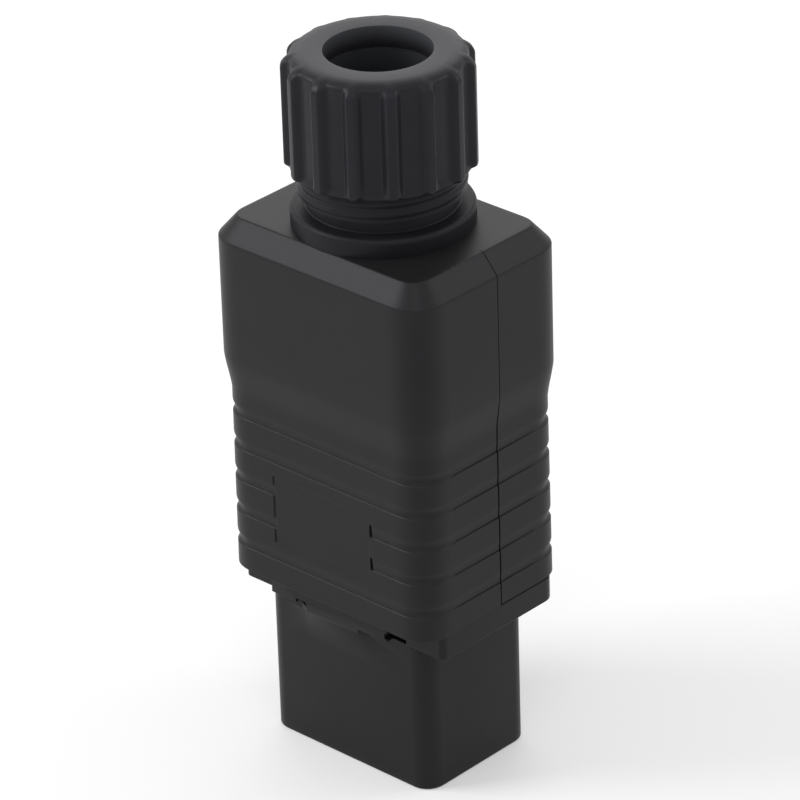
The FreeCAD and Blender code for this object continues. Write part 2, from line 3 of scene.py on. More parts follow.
import json
import logging
import math
from contextlib import contextmanager
from dataclasses import dataclass
from enum import Enum
from typing import Iterator, Sequence

import bmesh
import bpy
from bpy.types import ID, Material, Mesh, Node, NodeSocket, NodeTree, Object
from mathutils import Matrix, Vector

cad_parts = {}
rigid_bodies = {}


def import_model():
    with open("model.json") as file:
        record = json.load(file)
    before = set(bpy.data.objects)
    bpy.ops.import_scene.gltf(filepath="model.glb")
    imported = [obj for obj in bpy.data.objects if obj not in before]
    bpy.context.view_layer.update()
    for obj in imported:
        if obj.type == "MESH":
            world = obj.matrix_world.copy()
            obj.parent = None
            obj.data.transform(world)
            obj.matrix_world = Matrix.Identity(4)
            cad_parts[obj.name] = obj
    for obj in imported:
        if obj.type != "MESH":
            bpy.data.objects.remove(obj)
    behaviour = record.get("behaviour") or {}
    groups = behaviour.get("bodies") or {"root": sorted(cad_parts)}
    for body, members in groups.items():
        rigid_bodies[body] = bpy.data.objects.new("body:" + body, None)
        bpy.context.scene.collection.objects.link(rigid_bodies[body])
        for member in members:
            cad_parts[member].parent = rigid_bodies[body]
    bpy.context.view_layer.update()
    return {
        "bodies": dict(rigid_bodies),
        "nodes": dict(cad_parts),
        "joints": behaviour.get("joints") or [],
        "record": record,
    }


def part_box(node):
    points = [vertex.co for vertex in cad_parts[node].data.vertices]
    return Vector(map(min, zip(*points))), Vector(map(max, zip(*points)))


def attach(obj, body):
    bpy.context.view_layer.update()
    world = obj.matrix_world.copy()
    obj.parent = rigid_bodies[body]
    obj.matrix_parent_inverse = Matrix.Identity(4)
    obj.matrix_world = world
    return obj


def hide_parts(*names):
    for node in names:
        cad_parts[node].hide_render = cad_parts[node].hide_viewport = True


MM = 0.001
log = logging.getLogger("connector")

# Middles of the guard's screws and of the insert's pilot holes under them, in mm
GUARD_SCREW_X = 12.0
GUARD_SCREW_Y = 5.5

# Points closer than WELD are joined, and edges shorter than SLIVER are dissolved
WELD = 0.0005 * MM
SLIVER = 0.0002 * MM

# The largest share of a side that a rounded corner takes
SIDE_SHARE = 0.49

QUARTER = math.pi / 2.0
FULL_TURN = 2.0 * math.pi

Pair = tuple[float, float]
Point = tuple[float, float, float]
Corner = tuple[float, float, float]
Colour = tuple[float, float, float]
Row = tuple[Pair, Pair, float]
Given = NodeSocket | Material | str | float | Sequence[float]
Inputs = dict[str | int, Given]


class Slot(Enum):
    """The record's material slots."""

    HOUSING = "housing_plastic"
    CARRIER = "carrier_plastic"
    GLAND = "gland_plastic"
    NUT = "nut_plastic"
    SEAL = "seal_rubber"
    RING = "ring_plastic"
    CONTACT = "contact_metal"
    TERMINAL = "terminal_brass"
    STEEL = "screw_steel"


class Body(Enum):
    """The bodies of the frame."""

    HOUSING = "housing"
    RING = "ring"
    NUT = "nut"


class Mode(Enum):
    """How helper solids change an object."""

    CUT = "DIFFERENCE"
    JOIN = "UNION"


# Shapes, in millimetres


def smooth(value: float) -> float:
    """The smooth step from 0 to 1, level outside that range."""
    value = min(max(value, 0.0), 1.0)
    return value * value * (3.0 - 2.0 * value)


def ramp(value: float, start: float, length: float) -> float:
    """The smooth step that begins at a start and takes a length."""
    return smooth((value - start) / length)


def mix(low: float, high: float, share: float) -> float:
    """The value at a share of the way from low to high."""
    return low + (high - low) * share


def filleted(corners: Sequence[Corner], steps: int = 5, closed: bool = False) -> list[Pair]:
    """Rounds the corners of a chain of points.

    Args:
        corners: the chain, each corner as (a, b, radius).
        steps: segments in each rounded corner.
        closed: whether the last corner joins the first.

    Returns:
        The points of the rounded chain.
    """
    points: list[Pair] = []
    last = len(corners) - 1
    for i, (a, b, radius) in enumerate(corners):
        here = Vector((a, b))
        if radius <= 0.0 or (not closed and i in (0, last)):
            points.append((a, b))
            continue
        back = Vector(corners[i - 1][:2]) - here
        ahead = Vector(corners[i + 1 if i < last else 0][:2]) - here
        half = back.angle(ahead) / 2.0
        reach = min(radius / math.tan(half), SIDE_SHARE * back.length, SIDE_SHARE * ahead.length)
        middle = here + (back.normalized() + ahead.normalized()).normalized() * (reach / math.cos(half))
        first = here + back.normalized() * reach - middle
        turn = first.angle_signed(here + ahead.normalized() * reach - middle)
        for step in range(steps + 1):
            angle = -turn * step / steps
            x = first.x * math.cos(angle) - first.y * math.sin(angle)
            y = first.x * math.sin(angle) + first.y * math.cos(angle)
            points.append((middle.x + x, middle.y + y))
    return points


def rounded_ring(half: Pair, corner: float, z: float, middle: Pair = (0.0, 0.0), steps: int = 8,
                 front: float | None = None) -> list[Point]:
    """A level rounded rectangle.

    Args:
        half: half its size in X and in Y.
        corner: radius of its corners.
        z: its height.
        middle: its middle in X and Y.
        steps: segments in each corner.
        front: radius of the two corners at its -Y side, where it differs.

    Returns:
        Its points, counter-clockwise seen from above.
    """
    near = corner if front is None else front
    x, y = half
    chain = filleted([(x, -y, near), (x, y, corner), (-x, y, corner), (-x, -y, near)], steps, closed=True)
    return [(a + middle[0], b + middle[1], z) for a, b in chain]


def circle(radius: float, z: float, columns: int, x: float = 0.0, y: float = 0.0) -> list[Point]:
    """A level circle as points, counter-clockwise seen from above."""
    angles = [FULL_TURN * i / columns for i in range(columns)]
    return [(x + radius * math.cos(a), y + radius * math.sin(a), z) for a in angles]


@contextmanager
def opened(mesh: Mesh) -> Iterator[bmesh.types.BMesh]:
    """Opens a mesh for editing, and writes it back afterwards.

    Args:
        mesh: the mesh.

    Yields:
        Its editable form.
    """
    work = bmesh.new()
    work.from_mesh(mesh)
    yield work
    work.to_mesh(mesh)
    work.free()


def face_outward(mesh: Mesh) -> None:
    """Turns the faces of a closed mesh outward."""
    with opened(mesh) as work:
        bmesh.ops.recalc_face_normals(work, faces=work.faces)


@dataclass
class Solid:
    """A closed mesh as it is drawn, in mm."""

    points: list[Point]
    faces: list[tuple[int, ...]]

    @classmethod
    def stack(cls, rings: Sequence[Sequence[Point]], looped: bool = False) -> "Solid":
        """Joins rings of equal length one to the next.

        Args:
            rings: the rings in order.
            looped: whether the last ring joins the first. Otherwise both ends get a cap.

        Returns:
            The closed solid.
        """
        columns = len(rings[0])
        points = [point for ring in rings for point in ring]
        faces: list[tuple[int, ...]] = []
        for row in range(len(rings) if looped else len(rings) - 1):
            low, high = row * columns, (row + 1) % len(rings) * columns
            for i in range(columns):
                j = (i + 1) % columns
                faces.append((low + i, low + j, high + j, high + i))
        if not looped:
            faces.append(tuple(reversed(range(columns))))
            faces.append(tuple(range(len(points) - columns, len(points))))
        return cls(points, faces)

    @classmethod
    def turned(cls, profile: Sequence[Pair], columns: int, looped: bool = True) -> "Solid":
        """Turns a profile of (r, z) round the Z axis."""
        return cls.stack([circle(r, z, columns) for r, z in profile], looped)

    @classmethod
    def block(cls, x: Pair, y: Pair, z: Pair, edge: float = 0.0) -> "Solid":
        """A box between the given limits.

        Args:
            x: its limits in X.
            y: its limits in Y.
            z: its limits in Z.
            edge: radius of its upright edges, and size of the bevel round its ends.

        Returns:
            The closed solid.
        """
        half_x, half_y = (x[1] - x[0]) / 2.0, (y[1] - y[0]) / 2.0
        middle = ((x[1] + x[0]) / 2.0, (y[1] + y[0]) / 2.0)
        levels = [(z[0], 0.0), (z[1], 0.0)]
        if edge:
            levels = [(z[0], edge), (z[0] + edge, 0.0), (z[1] - edge, 0.0), (z[1], edge)]
        return cls.stack([rounded_ring((half_x - inset, half_y - inset), edge, height, middle, steps=3)
                          for height, inset in levels])

    @classmethod
    def rod(cls, radius: float, y: Pair, x: float, z: float, columns: int = 40) -> "Solid":
        """A round rod along Y between two limits."""
        return cls.stack([[(x + a, end, z + b) for a, b, _ in circle(radius, 0.0, columns)] for end in y])

    @classmethod
    def post(cls, radius: float, z: Pair, x: float = 0.0, y: float = 0.0, columns: int = 64) -> "Solid":
        """An upright round rod between two heights."""
        return cls.stack([circle(radius, end, columns, x, y) for end in z])

    def make(self, name: str, material: Material | None = None) -> Object:
        """Turns the solid into an object at the origin, in metres, with its faces outward.

        Args:
            name: name of the object.
            material: its material, if it is shown.

        Returns:
            The object, linked into the scene.
        """
        mesh = bpy.data.meshes.new(name)
        mesh.from_pydata([[MM * v for v in point] for point in self.points], [], self.faces)
        face_outward(mesh)
        if material:
            mesh.materials.append(material)
        return placed(name, mesh)


def placed(name: str, data: ID) -> Object:
    """Makes an object of a mesh, camera or lamp and links it into the scene.

    Args:
        name: its name.
        data: the mesh, camera or lamp.

    Returns:
        The object.
    """
    obj = bpy.data.objects.new(name, data)
    bpy.context.scene.collection.objects.link(obj)
    return obj


def settle(obj: Object) -> None:
    """Turns an object with modifiers into a plain mesh.

    Args:
        obj: the object, which loses its modifiers.
    """
    bpy.context.view_layer.update()
    depsgraph = bpy.context.evaluated_depsgraph_get()
    mesh = bpy.data.meshes.new_from_object(obj.evaluated_get(depsgraph))
    obj.modifiers.clear()
    obj.data = mesh


def combine(obj: Object, helpers: Sequence[Object], mode: Mode = Mode.CUT) -> None:
    """Cuts helpers from an object or joins them to it, keeps the plain result and removes the helpers.

    Args:
        obj: the object that is changed.
        helpers: the closed helper objects, used one after the other.
        mode: whether they are cut out or joined.
    """
    for helper in helpers:
        modifier = obj.modifiers.new("combine", "BOOLEAN")
        modifier.operation = mode.value
        modifier.solver = "EXACT"
        modifier.object = helper
    settle(obj)
    for helper in helpers:
        bpy.data.objects.remove(helper)


def carve(obj: Object, tools: Sequence[Solid], mode: Mode = Mode.CUT) -> None:
    """Cuts solids from an object, or joins them to it."""
    combine(obj, [tool.make("tool") for tool in tools], mode)


def show(obj: Object, slot: Slot, body: Body, node: str, crease: float = 38.0) -> None:
    """Finishes a piece: clean mesh, soft shading with sharp creases, and its place in the frame.

    Args:
        obj: the finished piece.
        slot: the material slot it takes its look from.
        body: the body it moves with.
        node: the CAD node it stands for.
        crease: angle in degrees from which an edge stays sharp.
    """
    with opened(obj.data) as work:
        bmesh.ops.remove_doubles(work, verts=work.verts, dist=WELD)
        bmesh.ops.dissolve_degenerate(work, edges=work.edges, dist=SLIVER)
        loose = sum(1 for edge in work.edges if len(edge.link_faces) != 2)
    obj.data.shade_smooth()
    obj.data.set_sharp_from_angle(angle=math.radians(crease))
    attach(obj, body.value)
    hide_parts(node)
    log.info("%s: %d faces, %d open edges, stands for %s", obj.name, len(obj.data.polygons), loose, node)


# Node trees and finishes


def feed(tree: NodeTree, node: Node, inputs: Inputs) -> None:
    """Gives a node what its inputs take: a socket is joined to the input, and a constant is set on it.

    Args:
        tree: the node's tree.
        node: the node.
        inputs: what its inputs take, by name or number.
    """
    for key, value in inputs.items():
        if isinstance(value, NodeSocket):
            tree.links.new(value, node.inputs[key])
        else:
            node.inputs[key].default_value = value


def add(tree: NodeTree, kind: str, inputs: Inputs | None = None,
        **settings: str) -> Node:
    """Adds a node to a tree.

    Args:
        tree: the tree.
        kind: type of the node.
        inputs: what its inputs take, by name or number.
        settings: its own settings.

    Returns:
        The node.
    """
    node = tree.nodes.new(kind)
    for key, value in settings.items():
        setattr(node, key, value)
    feed(tree, node, inputs or {})
    return node


def work_out(tree: NodeTree, operation: str, *values: Given) -> NodeSocket:
    """Adds a Math node on sockets or numbers, and gives its output."""
    return add(tree, "ShaderNodeMath", dict(enumerate(values)), operation=operation).outputs[0]


def noise(tree: NodeTree, place: NodeSocket, size: float, detail: float) -> NodeSocket:
    """Adds a noise pattern.

    Args:
        tree: the material's tree.
        place: the coordinates it lies on.
        size: size of the pattern's cells in mm.
        detail: octaves of finer pattern.

    Returns:
        The pattern, from 0 to 1.
    """
    inputs = {"Scale": 1.0 / (size * MM), "Detail": detail, "Vector": place}
    return add(tree, "ShaderNodeTexNoise", inputs).outputs["Fac"]


def blend(tree: NodeTree, share: Given, low: Given, high: Given) -> NodeSocket:
    """Adds a mix of two colours, from the low one at share 0 to the high one at 1."""
    inputs = {"Factor": share, "A": low, "B": high}
    return add(tree, "ShaderNodeMix", inputs, data_type="RGBA").outputs["Result"]


def shade(colour: Colour, share: float = 1.0) -> tuple[float, float, float, float]:
    """A share of a colour, opaque."""
    return (*[share * v for v in colour], 1.0)


def spread(tree: NodeTree, pattern: NodeSocket, middle: float, half: float) -> NodeSocket:
    """Turns a pattern into a value that lies within half of the middle."""
    inputs = {"Value": pattern, "To Min": middle - half, "To Max": middle + half}
    return add(tree, "ShaderNodeMapRange", inputs).outputs["Result"]


def blank(name: str) -> tuple[Material, NodeTree, Node]:
    """Makes a node material, and gives it with its tree and its shader.

    Args:
        name: its name.

    Returns:
        The material, its tree and its shader.
    """
    material = bpy.data.materials.new(name)
    material.use_nodes = True
    return material, material.node_tree, material.node_tree.nodes["Principled BSDF"]


@dataclass(frozen=True)
class PaintedBoreLight:
    """A painted highlight: a paler colour on the upper part of a bore's wall, standing in for the light on
    the bore's lit funnel. Lengths in mm.
    """

    radius: float
    top: float
    depth: float
    colour: Colour
    edge: Pair = (0.04, 0.1)

    def lay(self, tree: NodeTree, place: NodeSocket,
            colour: NodeSocket) -> NodeSocket:
        """Lays the painted highlight over a colour.

        Args:
            tree: the material's tree.
            place: the Object coordinates.
            colour: the colour outside the bore.

        Returns:
            The colour with the painted highlight.
        """
        flat = add(tree, "ShaderNodeVectorMath", {0: place, 1: (1.0, 1.0, 0.0)}, operation="MULTIPLY")
        reach = add(tree, "ShaderNodeVectorMath", {0: flat.outputs["Vector"]}, operation="LENGTH")
        inside = add(tree, "ShaderNodeMapRange", {
            "Value": reach.outputs["Value"], "From Min": (self.radius + self.edge[0]) * MM,
            "From Max": (self.radius + self.edge[1]) * MM, "To Min": 1.0, "To Max": 0.0,
        })
        height = add(tree, "ShaderNodeSeparateXYZ", {0: place}).outputs["Z"]
        depth = add(tree, "ShaderNodeMapRange", {
            "Value": height, "From Min": (self.top - self.depth) * MM, "From Max": self.top * MM,
        }, interpolation_type="SMOOTHSTEP")
        # Mask of the painted highlight: inside the bore's radius and near its top
        share = work_out(tree, "MULTIPLY", inside.outputs["Result"], depth.outputs["Result"])
        return blend(tree, share, colour, shade(self.colour))


@dataclass(frozen=True)
class Plastic:
    """A moulded plastic or rubber: dark body, satin gloss, fine grain, faint unevenness and, where given, a
    painted highlight in a bore. Lengths in mm.
    """

    name: str
    colour: Colour
    roughness: float
    ior: float
    grain: float
    grain_height: float
    wave: float = 6.0
    # bore: a painted highlight on the upper part of a bore's wall, if any
    bore: PaintedBoreLight | None = None
    shades: Pair = (0.82, 1.2)
    gloss_spread: float = 0.05
    gloss_tint: Colour = (0.97, 0.945, 1.0)

    def make(self) -> Material:
        """Builds the node material, with its pattern on Object coordinates.

        Returns:
            The material.
        """
        material, tree, shader = blank(self.name)
        place = add(tree, "ShaderNodeTexCoord").outputs["Object"]
        cloud, fine = noise(tree, place, self.wave, 3.0), noise(tree, place, self.grain, 2.0)
        colour = blend(tree, cloud, *(shade(self.colour, share) for share in self.shades))
        # Painted highlight on the upper part of the bore's wall
        if self.bore:
            colour = self.bore.lay(tree, place, colour)
        height = work_out(tree, "MULTIPLY", fine, self.grain_height * MM)
        bump = add(tree, "ShaderNodeBump", {"Strength": 1.0, "Distance": 1.0, "Height": height})
        feed(tree, shader, {
            "Base Color": colour,
            "IOR": self.ior,
            "Specular Tint": shade(self.gloss_tint),
            "Roughness": spread(tree, fine, self.roughness, self.gloss_spread),
            "Normal": bump.outputs["Normal"],
        })
        return material


@dataclass(frozen=True)
class Metal:
    """A bare or plated metal with fine marks. Lengths in mm."""

    name: str
    colour: Colour
    roughness: float
    marks: float = 0.4
    darkest: float = 0.85
    gloss_spread: float = 0.06

    def make(self) -> Material:
        """Builds the node material, with its pattern on Object coordinates.

        Returns:
            The material.
        """
        material, tree, shader = blank(self.name)
        place = add(tree, "ShaderNodeTexCoord").outputs["Object"]
        marks = noise(tree, place, self.marks, 3.0)
        feed(tree, shader, {
            "Metallic": 1.0,
            "Base Color": blend(tree, marks, shade(self.colour, self.darkest), shade(self.colour)),
            "Roughness": spread(tree, marks, self.roughness, self.gloss_spread),
        })
        return material


FINISHES = {
    Slot.HOUSING: Plastic("moulded_shell", (0.0122, 0.012, 0.0128), 0.42, 1.28, 0.2, 0.014, 9.0),
    Slot.CARRIER: Plastic("smooth_insert", (0.0118, 0.0116, 0.0124), 0.4, 1.27, 0.3, 0.004, 9.0),
    Slot.GLAND: Plastic("gland_nylon", (0.0105, 0.0108, 0.0132), 0.48, 1.25, 0.4, 0.004, 5.0),
    # The nut's finish paints a highlight on the upper part of its bore wall, in place of the light on the lit
    # funnel
    Slot.NUT: Plastic("nut_nylon", (0.014, 0.0138, 0.0172), 0.38, 1.27, 0.5, 0.006, 4.0,
                      PaintedBoreLight(radius=7.1, top=101.0, depth=2.9, colour=(0.072, 0.074, 0.082))),
    Slot.SEAL: Plastic("seal_rubber", (0.03, 0.033, 0.038), 0.6, 1.35, 0.3, 0.01),
    Slot.RING: Plastic("ring_acetal", (0.036, 0.038, 0.042), 0.45, 1.35, 0.4, 0.003),
    Slot.CONTACT: Metal("plated_strip", (0.72, 0.68, 0.58), 0.3),
    Slot.TERMINAL: Metal("machined_brass", (0.78, 0.6, 0.28), 0.32),
    Slot.STEEL: Metal("zinc_steel", (0.62, 0.62, 0.63), 0.35),
}


class Recipe:
    """A Geometry Nodes tree with named inputs, run once on an object and then removed."""

    def __init__(self, name: str, inputs: dict[str, float | int]) -> None:
        """Starts the tree.

        Args:
            name: name of the tree.
            inputs: its named inputs with their values.
        """
        self.tree = bpy.data.node_groups.new(name, "GeometryNodeTree")
        face = self.tree.interface
        for way in ("INPUT", "OUTPUT"):
            face.new_socket("Geometry", in_out=way, socket_type="NodeSocketGeometry")
        self.values: dict[str, float | int] = {}
        for key, value in inputs.items():
            kind = "NodeSocketInt" if isinstance(value, int) else "NodeSocketFloat"
            socket = face.new_socket(key, in_out="INPUT", socket_type=kind)
            self.values[socket.identifier] = value
        self.start = self.tree.nodes.new("NodeGroupInput")
        self.end = self.tree.nodes.new("NodeGroupOutput")

    def node(self, kind: str, inputs: Inputs | None = None, **settings: str) -> Node:
        """Adds a node of a kind, with its inputs and settings."""
        return add(self.tree, kind, inputs, **settings)

    def math(self, operation: str, *values: Given) -> NodeSocket:
        """Adds a Math node on sockets or numbers, and gives its output."""
        return work_out(self.tree, operation, *values)

    def given(self, key: str) -> NodeSocket:
        """The socket of a named input."""
        return self.start.outputs[key]

    def run(self, obj: Object, geometry: NodeSocket, material: Material,
            merge: bool = False) -> None:
        """Ends the tree with real geometry and its material, runs it, and keeps the plain mesh.

        Args:
            obj: the object it runs on.
            geometry: the last geometry socket.
            material: what the geometry gets.
            merge: whether points that meet are joined, at the input Merge distance.
        """
        last = self.node("GeometryNodeRealizeInstances", {"Geometry": geometry}).outputs["Geometry"]
        if merge:
            joined = {"Geometry": last, "Distance": self.given("Merge distance")}
            last = self.node("GeometryNodeMergeByDistance", joined).outputs["Geometry"]
        finish = self.node("GeometryNodeSetMaterial", {"Geometry": last, "Material": material})
        feed(self.tree, self.end, {"Geometry": finish.outputs["Geometry"]})
        modifier = obj.modifiers.new(self.tree.name, "NODES")
        modifier.node_group = self.tree
        for identifier, value in self.values.items():
            modifier[identifier] = value
        settle(obj)


# Housing


@dataclass(frozen=True)
class Housing:
    """Sizes of the two-part housing in mm, from the frame or named.

    The pairs cut_in and cut_out are ramps, each as the height it starts at and its length. The size past says
    how far a tool reaches beyond the face that it opens.
    """

    # The whole, from the frame
    bottom: float
    top: float
    body_x: float
    body_y: float
    # The outer wall: its ribbed part, the taper above and the rounded top
    rib_x: float = 18.05
    rib_y: float = 13.5
    rib_corner: float = 5.0
    body_corner: float = 5.4
    corner_power: float = 2.5
    flare: float = 0.15
    ribbed: float = 26.5
    taper: float = 5.2
    wall_straight: float = 0.6
    chamfer: float = 2.8
    chamfer_start: float = 0.9
    inset: float = 2.36
    top_flat: float = 0.8
    foot: float = 0.06
    dish: float = 0.004
    closest_levels: float = 0.03
    # The grooves between the ribs
    groove_first: float = 3.4
    groove_pitch: float = 4.88
    groove_count: int = 5
    groove_height: float = 1.9
    groove_low: float = 0.6
    groove_depth: float = 0.25
    groove_ledge: float = 0.1
    groove_end: float = 1.2
    cut_front: float = 0.08
    cut_side: float = 0.14
    cut_in: Pair = (0.06, 0.08)
    cut_out: Pair = (0.16, 0.12)
    # The small upright slots beside the panel
    pit_width: float = 0.3
    pit_depth: float = 0.4
    pit_left: float = 0.16
    pit_near: float = 0.06
    pit_far: float = 0.1
    pit_foot: float = 0.15
    pit_end: float = 0.25
    # The label panel
    panel_x: float = 8.45
    panel_bottom: float = 6.3
    panel_height: float = 9.9
    panel_corner: float = 1.5
    panel_recess: float = 0.02
    panel_edge: float = 0.16
    # The parting line, and the gap under the rear shell
    parting: float = 0.8
    seam: float = 0.13
    seam_low: float = 0.24
    seam_foot: float = 0.6
    seam_foot_height: float = 3.4
    seam_depth: float = 0.4
    gap: float = 0.3
    gap_height: float = 0.24
    gap_edge: float = 0.04
    # The hollow
    wall: float = 2.6
    lip: float = 2.8
    nose_x: float = 14.6
    nose_y: float = 10.2
    nose_corner: float = 2.8
    top_wall: float = 2.5
    pocket: float = 4.1
    shelf: float = 3.0
    pocket_x: float = 13.15
    pocket_y: float = 11.15
    pocket_corner: float = 3.0
    sleeve_r: float = 9.15
    neck_r: float = 10.05
    past: float = 1.0
    # The closing screws
    post_r: float = 2.7
    screw_x: float = 12.9
    screw_z: Pair = (47.2, 62.4)
    seat_y: float = 11.0

    @classmethod
    def from_frame(cls) -> "Housing":
        """Reads the outer sizes from the CAD shells."""
        low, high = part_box("front_shell")
        return cls(bottom=low.z / MM, top=high.z / MM, body_x=high.x / MM, body_y=-low.y / MM)

    def wall_at(self, z: float) -> tuple[float, float, float]:
        """The undisturbed outline at a height.

        Args:
            z: the height.

        Returns:
            Half its size in X and in Y, and its corner radius.
        """
        rib_top = self.bottom + self.ribbed
        rise = min(max((z - rib_top) / self.taper, 0.0), 1.0)
        share = mix(smooth(rise), rise, self.wall_straight)
        flare = self.flare * max(rib_top - z, 0.0) / self.ribbed
        half_x = mix(self.rib_x, self.body_x, share) + flare
        half_y = mix(self.rib_y, self.body_y, share) + flare
        return half_x, half_y, mix(self.rib_corner, self.body_corner, share)

    def rise_at(self, z: float) -> float:
        """Height of a place above its groove's lower edge, or the groove's height where there is none.

        Args:
            z: the height of the place.

        Returns:
            Its height above the edge, at most the groove's height.
        """
        share = (z - self.bottom - self.groove_first) / self.groove_pitch
        index = math.floor(share)
        rise = (share - index) * self.groove_pitch
        return min(rise, self.groove_height) if 0 <= index < self.groove_count else self.groove_height

    def groove_at(self, z: float) -> tuple[float, float, float]:
        """The parts of a groove at a height.

        Args:
            z: the height.

        Returns:
            Depth of the sharp ledge below, share of the fine cut above it, and depth of the soft run.
        """
        rise = self.rise_at(z)
        fall = 1.0 - ramp(rise, self.groove_low, self.groove_height - self.groove_low)
        ledge = min(rise, self.groove_ledge) * fall
        cut = ramp(rise, *self.cut_in) * (1.0 - ramp(rise, *self.cut_out))
        run = ramp(rise, self.groove_ledge, self.groove_low - self.groove_ledge)
        return ledge, cut, self.groove_depth * run * fall

    def pit_at(self, x: float, z: float) -> float:
        """Depth of the short upright slots beside the panel: level with the grooves, on the left between.

        Args:
            x: the place along the front.
            z: its height.

        Returns:
            How deep the wall lies there.
        """
        beside = abs(x) - self.panel_x
        low = self.bottom + self.panel_bottom
        if beside < 0.0 or not low < z < low + self.panel_height:
            return 0.0
        rise = self.rise_at(z)
        across = smooth(beside / self.pit_near) * (1.0 - ramp(beside, self.pit_width, self.pit_far))
        above = smooth((rise - self.groove_height + self.pit_end) / self.pit_end)
        if x < 0.0:
            return self.pit_left * across * above
        return self.pit_depth * across * (smooth(rise / self.pit_foot) * (1.0 - above))

    def seam_at(self, z: float) -> float:
        """Width of the gap between the shells: wide between the ribs, narrower above them and at the foot.

        Args:
            z: the height.

        Returns:
            The width.
        """
        rise = (z - self.bottom - self.ribbed) / self.taper
        foot = ramp(z, self.bottom, self.seam_foot_height)
        return mix(self.seam_low, self.seam, smooth(rise)) * mix(self.seam_foot, 1.0, foot)

    def panel_at(self, x: float, z: float) -> float:
        """How far a place on the front belongs to the label panel, from 0 to 1.

        Args:
            x: the place along the front.
            z: its height.

        Returns:
            0 outside the panel, 1 inside it, and between them on its edge.
        """
        middle = self.bottom + self.panel_bottom + self.panel_height / 2.0
        across = abs(x) - self.panel_x + self.panel_corner
        up = abs(z - middle) - self.panel_height / 2.0 + self.panel_corner
        outside = math.hypot(max(across, 0.0), max(up, 0.0)) + min(max(across, up), 0.0) - self.panel_corner
        return smooth(0.5 - outside / self.panel_edge)

    def levels(self) -> list[Pair]:
        """The heights that the outer wall is drawn at.

        Returns:
            Each height with the wall's inset there, from the foot up.
        """
        rows = filleted([(self.bottom, 3 * self.foot, 0), (self.bottom + self.dish, self.foot, 0.15),
                         (self.bottom + self.foot, 0.0, 0.3), (self.bottom + 1.2, 0.0, 0)], steps=4)
        gap_top = self.bottom + self.gap_height
        rises = (-0.1, 0.0, self.gap_edge / 2.0, self.gap_edge, 0.1)
        rows = sorted(rows + [(gap_top + rise, 0.0) for rise in rises])
        heights = set()
        for i in range(self.groove_count):
            base = self.bottom + self.groove_first + i * self.groove_pitch
            rises = [0.0, 0.05, self.groove_ledge, 0.14, 0.19, 0.24, 0.3, 0.46, self.groove_low]
            rises += [mix(self.groove_low, self.groove_height, k / 7.0) for k in range(1, 8)]
            heights.update(base + rise for rise in rises)
        for end, inward in ((0.0, 1.0), (self.panel_height, -1.0)):
            edge = self.bottom + self.panel_bottom + end
            heights.update(edge + self.panel_edge * k / 4.0 for k in range(-3, 4))
            heights.update(edge + inward * self.panel_corner * k / 4.0 for k in range(2, 6))
        first = self.bottom + self.ribbed
        heights.update(first + self.taper * k / 8.0 for k in range(9))
        kept: list[float] = []
        for z in sorted(heights):
            if not kept or z - kept[-1] > self.closest_levels:
                kept.append(z)
        edge = self.top - self.chamfer
        kept += [mix(first + self.taper, edge, k / 4.0) for k in range(1, 4)]
        crown = filleted([(edge - self.chamfer_start, 0.0, 0), (edge, 0.0, 0.6),
                          (self.top - self.dish, self.inset, 0.45),
                          (self.top, self.inset + self.top_flat, 0)])
        return rows + [(z, 0.0) for z in kept] + crown

    def front_places(self, span: float) -> list[float]:
        """Places along the front wall, closer at the panel's edge and towards the corners.

        Args:
            span: half the length of the wall between its corners.

        Returns:
            The places in X from its left end to its right.
        """
        edges = [self.panel_x - self.panel_corner * k / 4.0 for k in range(4, 0, -1)]
        edges += [self.panel_x + self.panel_edge * k / 4.0 for k in range(-3, 4)]
        edges += [self.panel_x + rise for rise in (0.2, 0.3, 0.35, 0.4)]
        middle = [self.panel_x * k / 8.0 for k in range(7)]
        ends = [span * share for share in (0.77, 0.83, 0.88, 0.92, 0.96, 1.0)]
        half = sorted(set(middle + edges)) + ends
        return [-x for x in reversed(half) if x] + half

    def room(self) -> list[Solid]:
        """The hollow of both shells as solids that are cut away, without the wiring room.

        Returns:
            The nose's opening, the plate's pocket, the sleeve's and the neck's ways.
        """
        pocket_top = self.top - self.top_wall
        pocket_low = pocket_top - self.pocket
        lip = (self.bottom - self.past, self.bottom + self.lip + self.past)
        return [
            Solid.stack([rounded_ring((self.nose_x, self.nose_y), self.nose_corner, z) for z in lip]),
            Solid.stack([rounded_ring((self.pocket_x, self.pocket_y), self.pocket_corner, z)
                         for z in (pocket_low, pocket_top)]),
            Solid.post(self.sleeve_r, (pocket_low - self.shelf - self.past, pocket_low + self.past)),
            Solid.post(self.neck_r, (pocket_top - self.past, self.top + self.past), columns=96),
        ]

    def chamber(self) -> Solid:
        """The wiring room, which the screw posts cross.

        Returns:
            The closed solid.
        """
        half = (self.rib_x - self.wall, self.rib_y - self.wall)
        ends = (self.bottom + self.lip, self.top - self.top_wall - self.pocket - self.shelf)
        return Solid.stack([rounded_ring(half, self.rib_corner - self.wall, z) for z in ends])

    def screw_places(self) -> list[Pair]:
        """Middle lines of the four closing screws as (x, z)."""
        return [(side * self.screw_x, z) for z in self.screw_z for side in (-1, 1)]


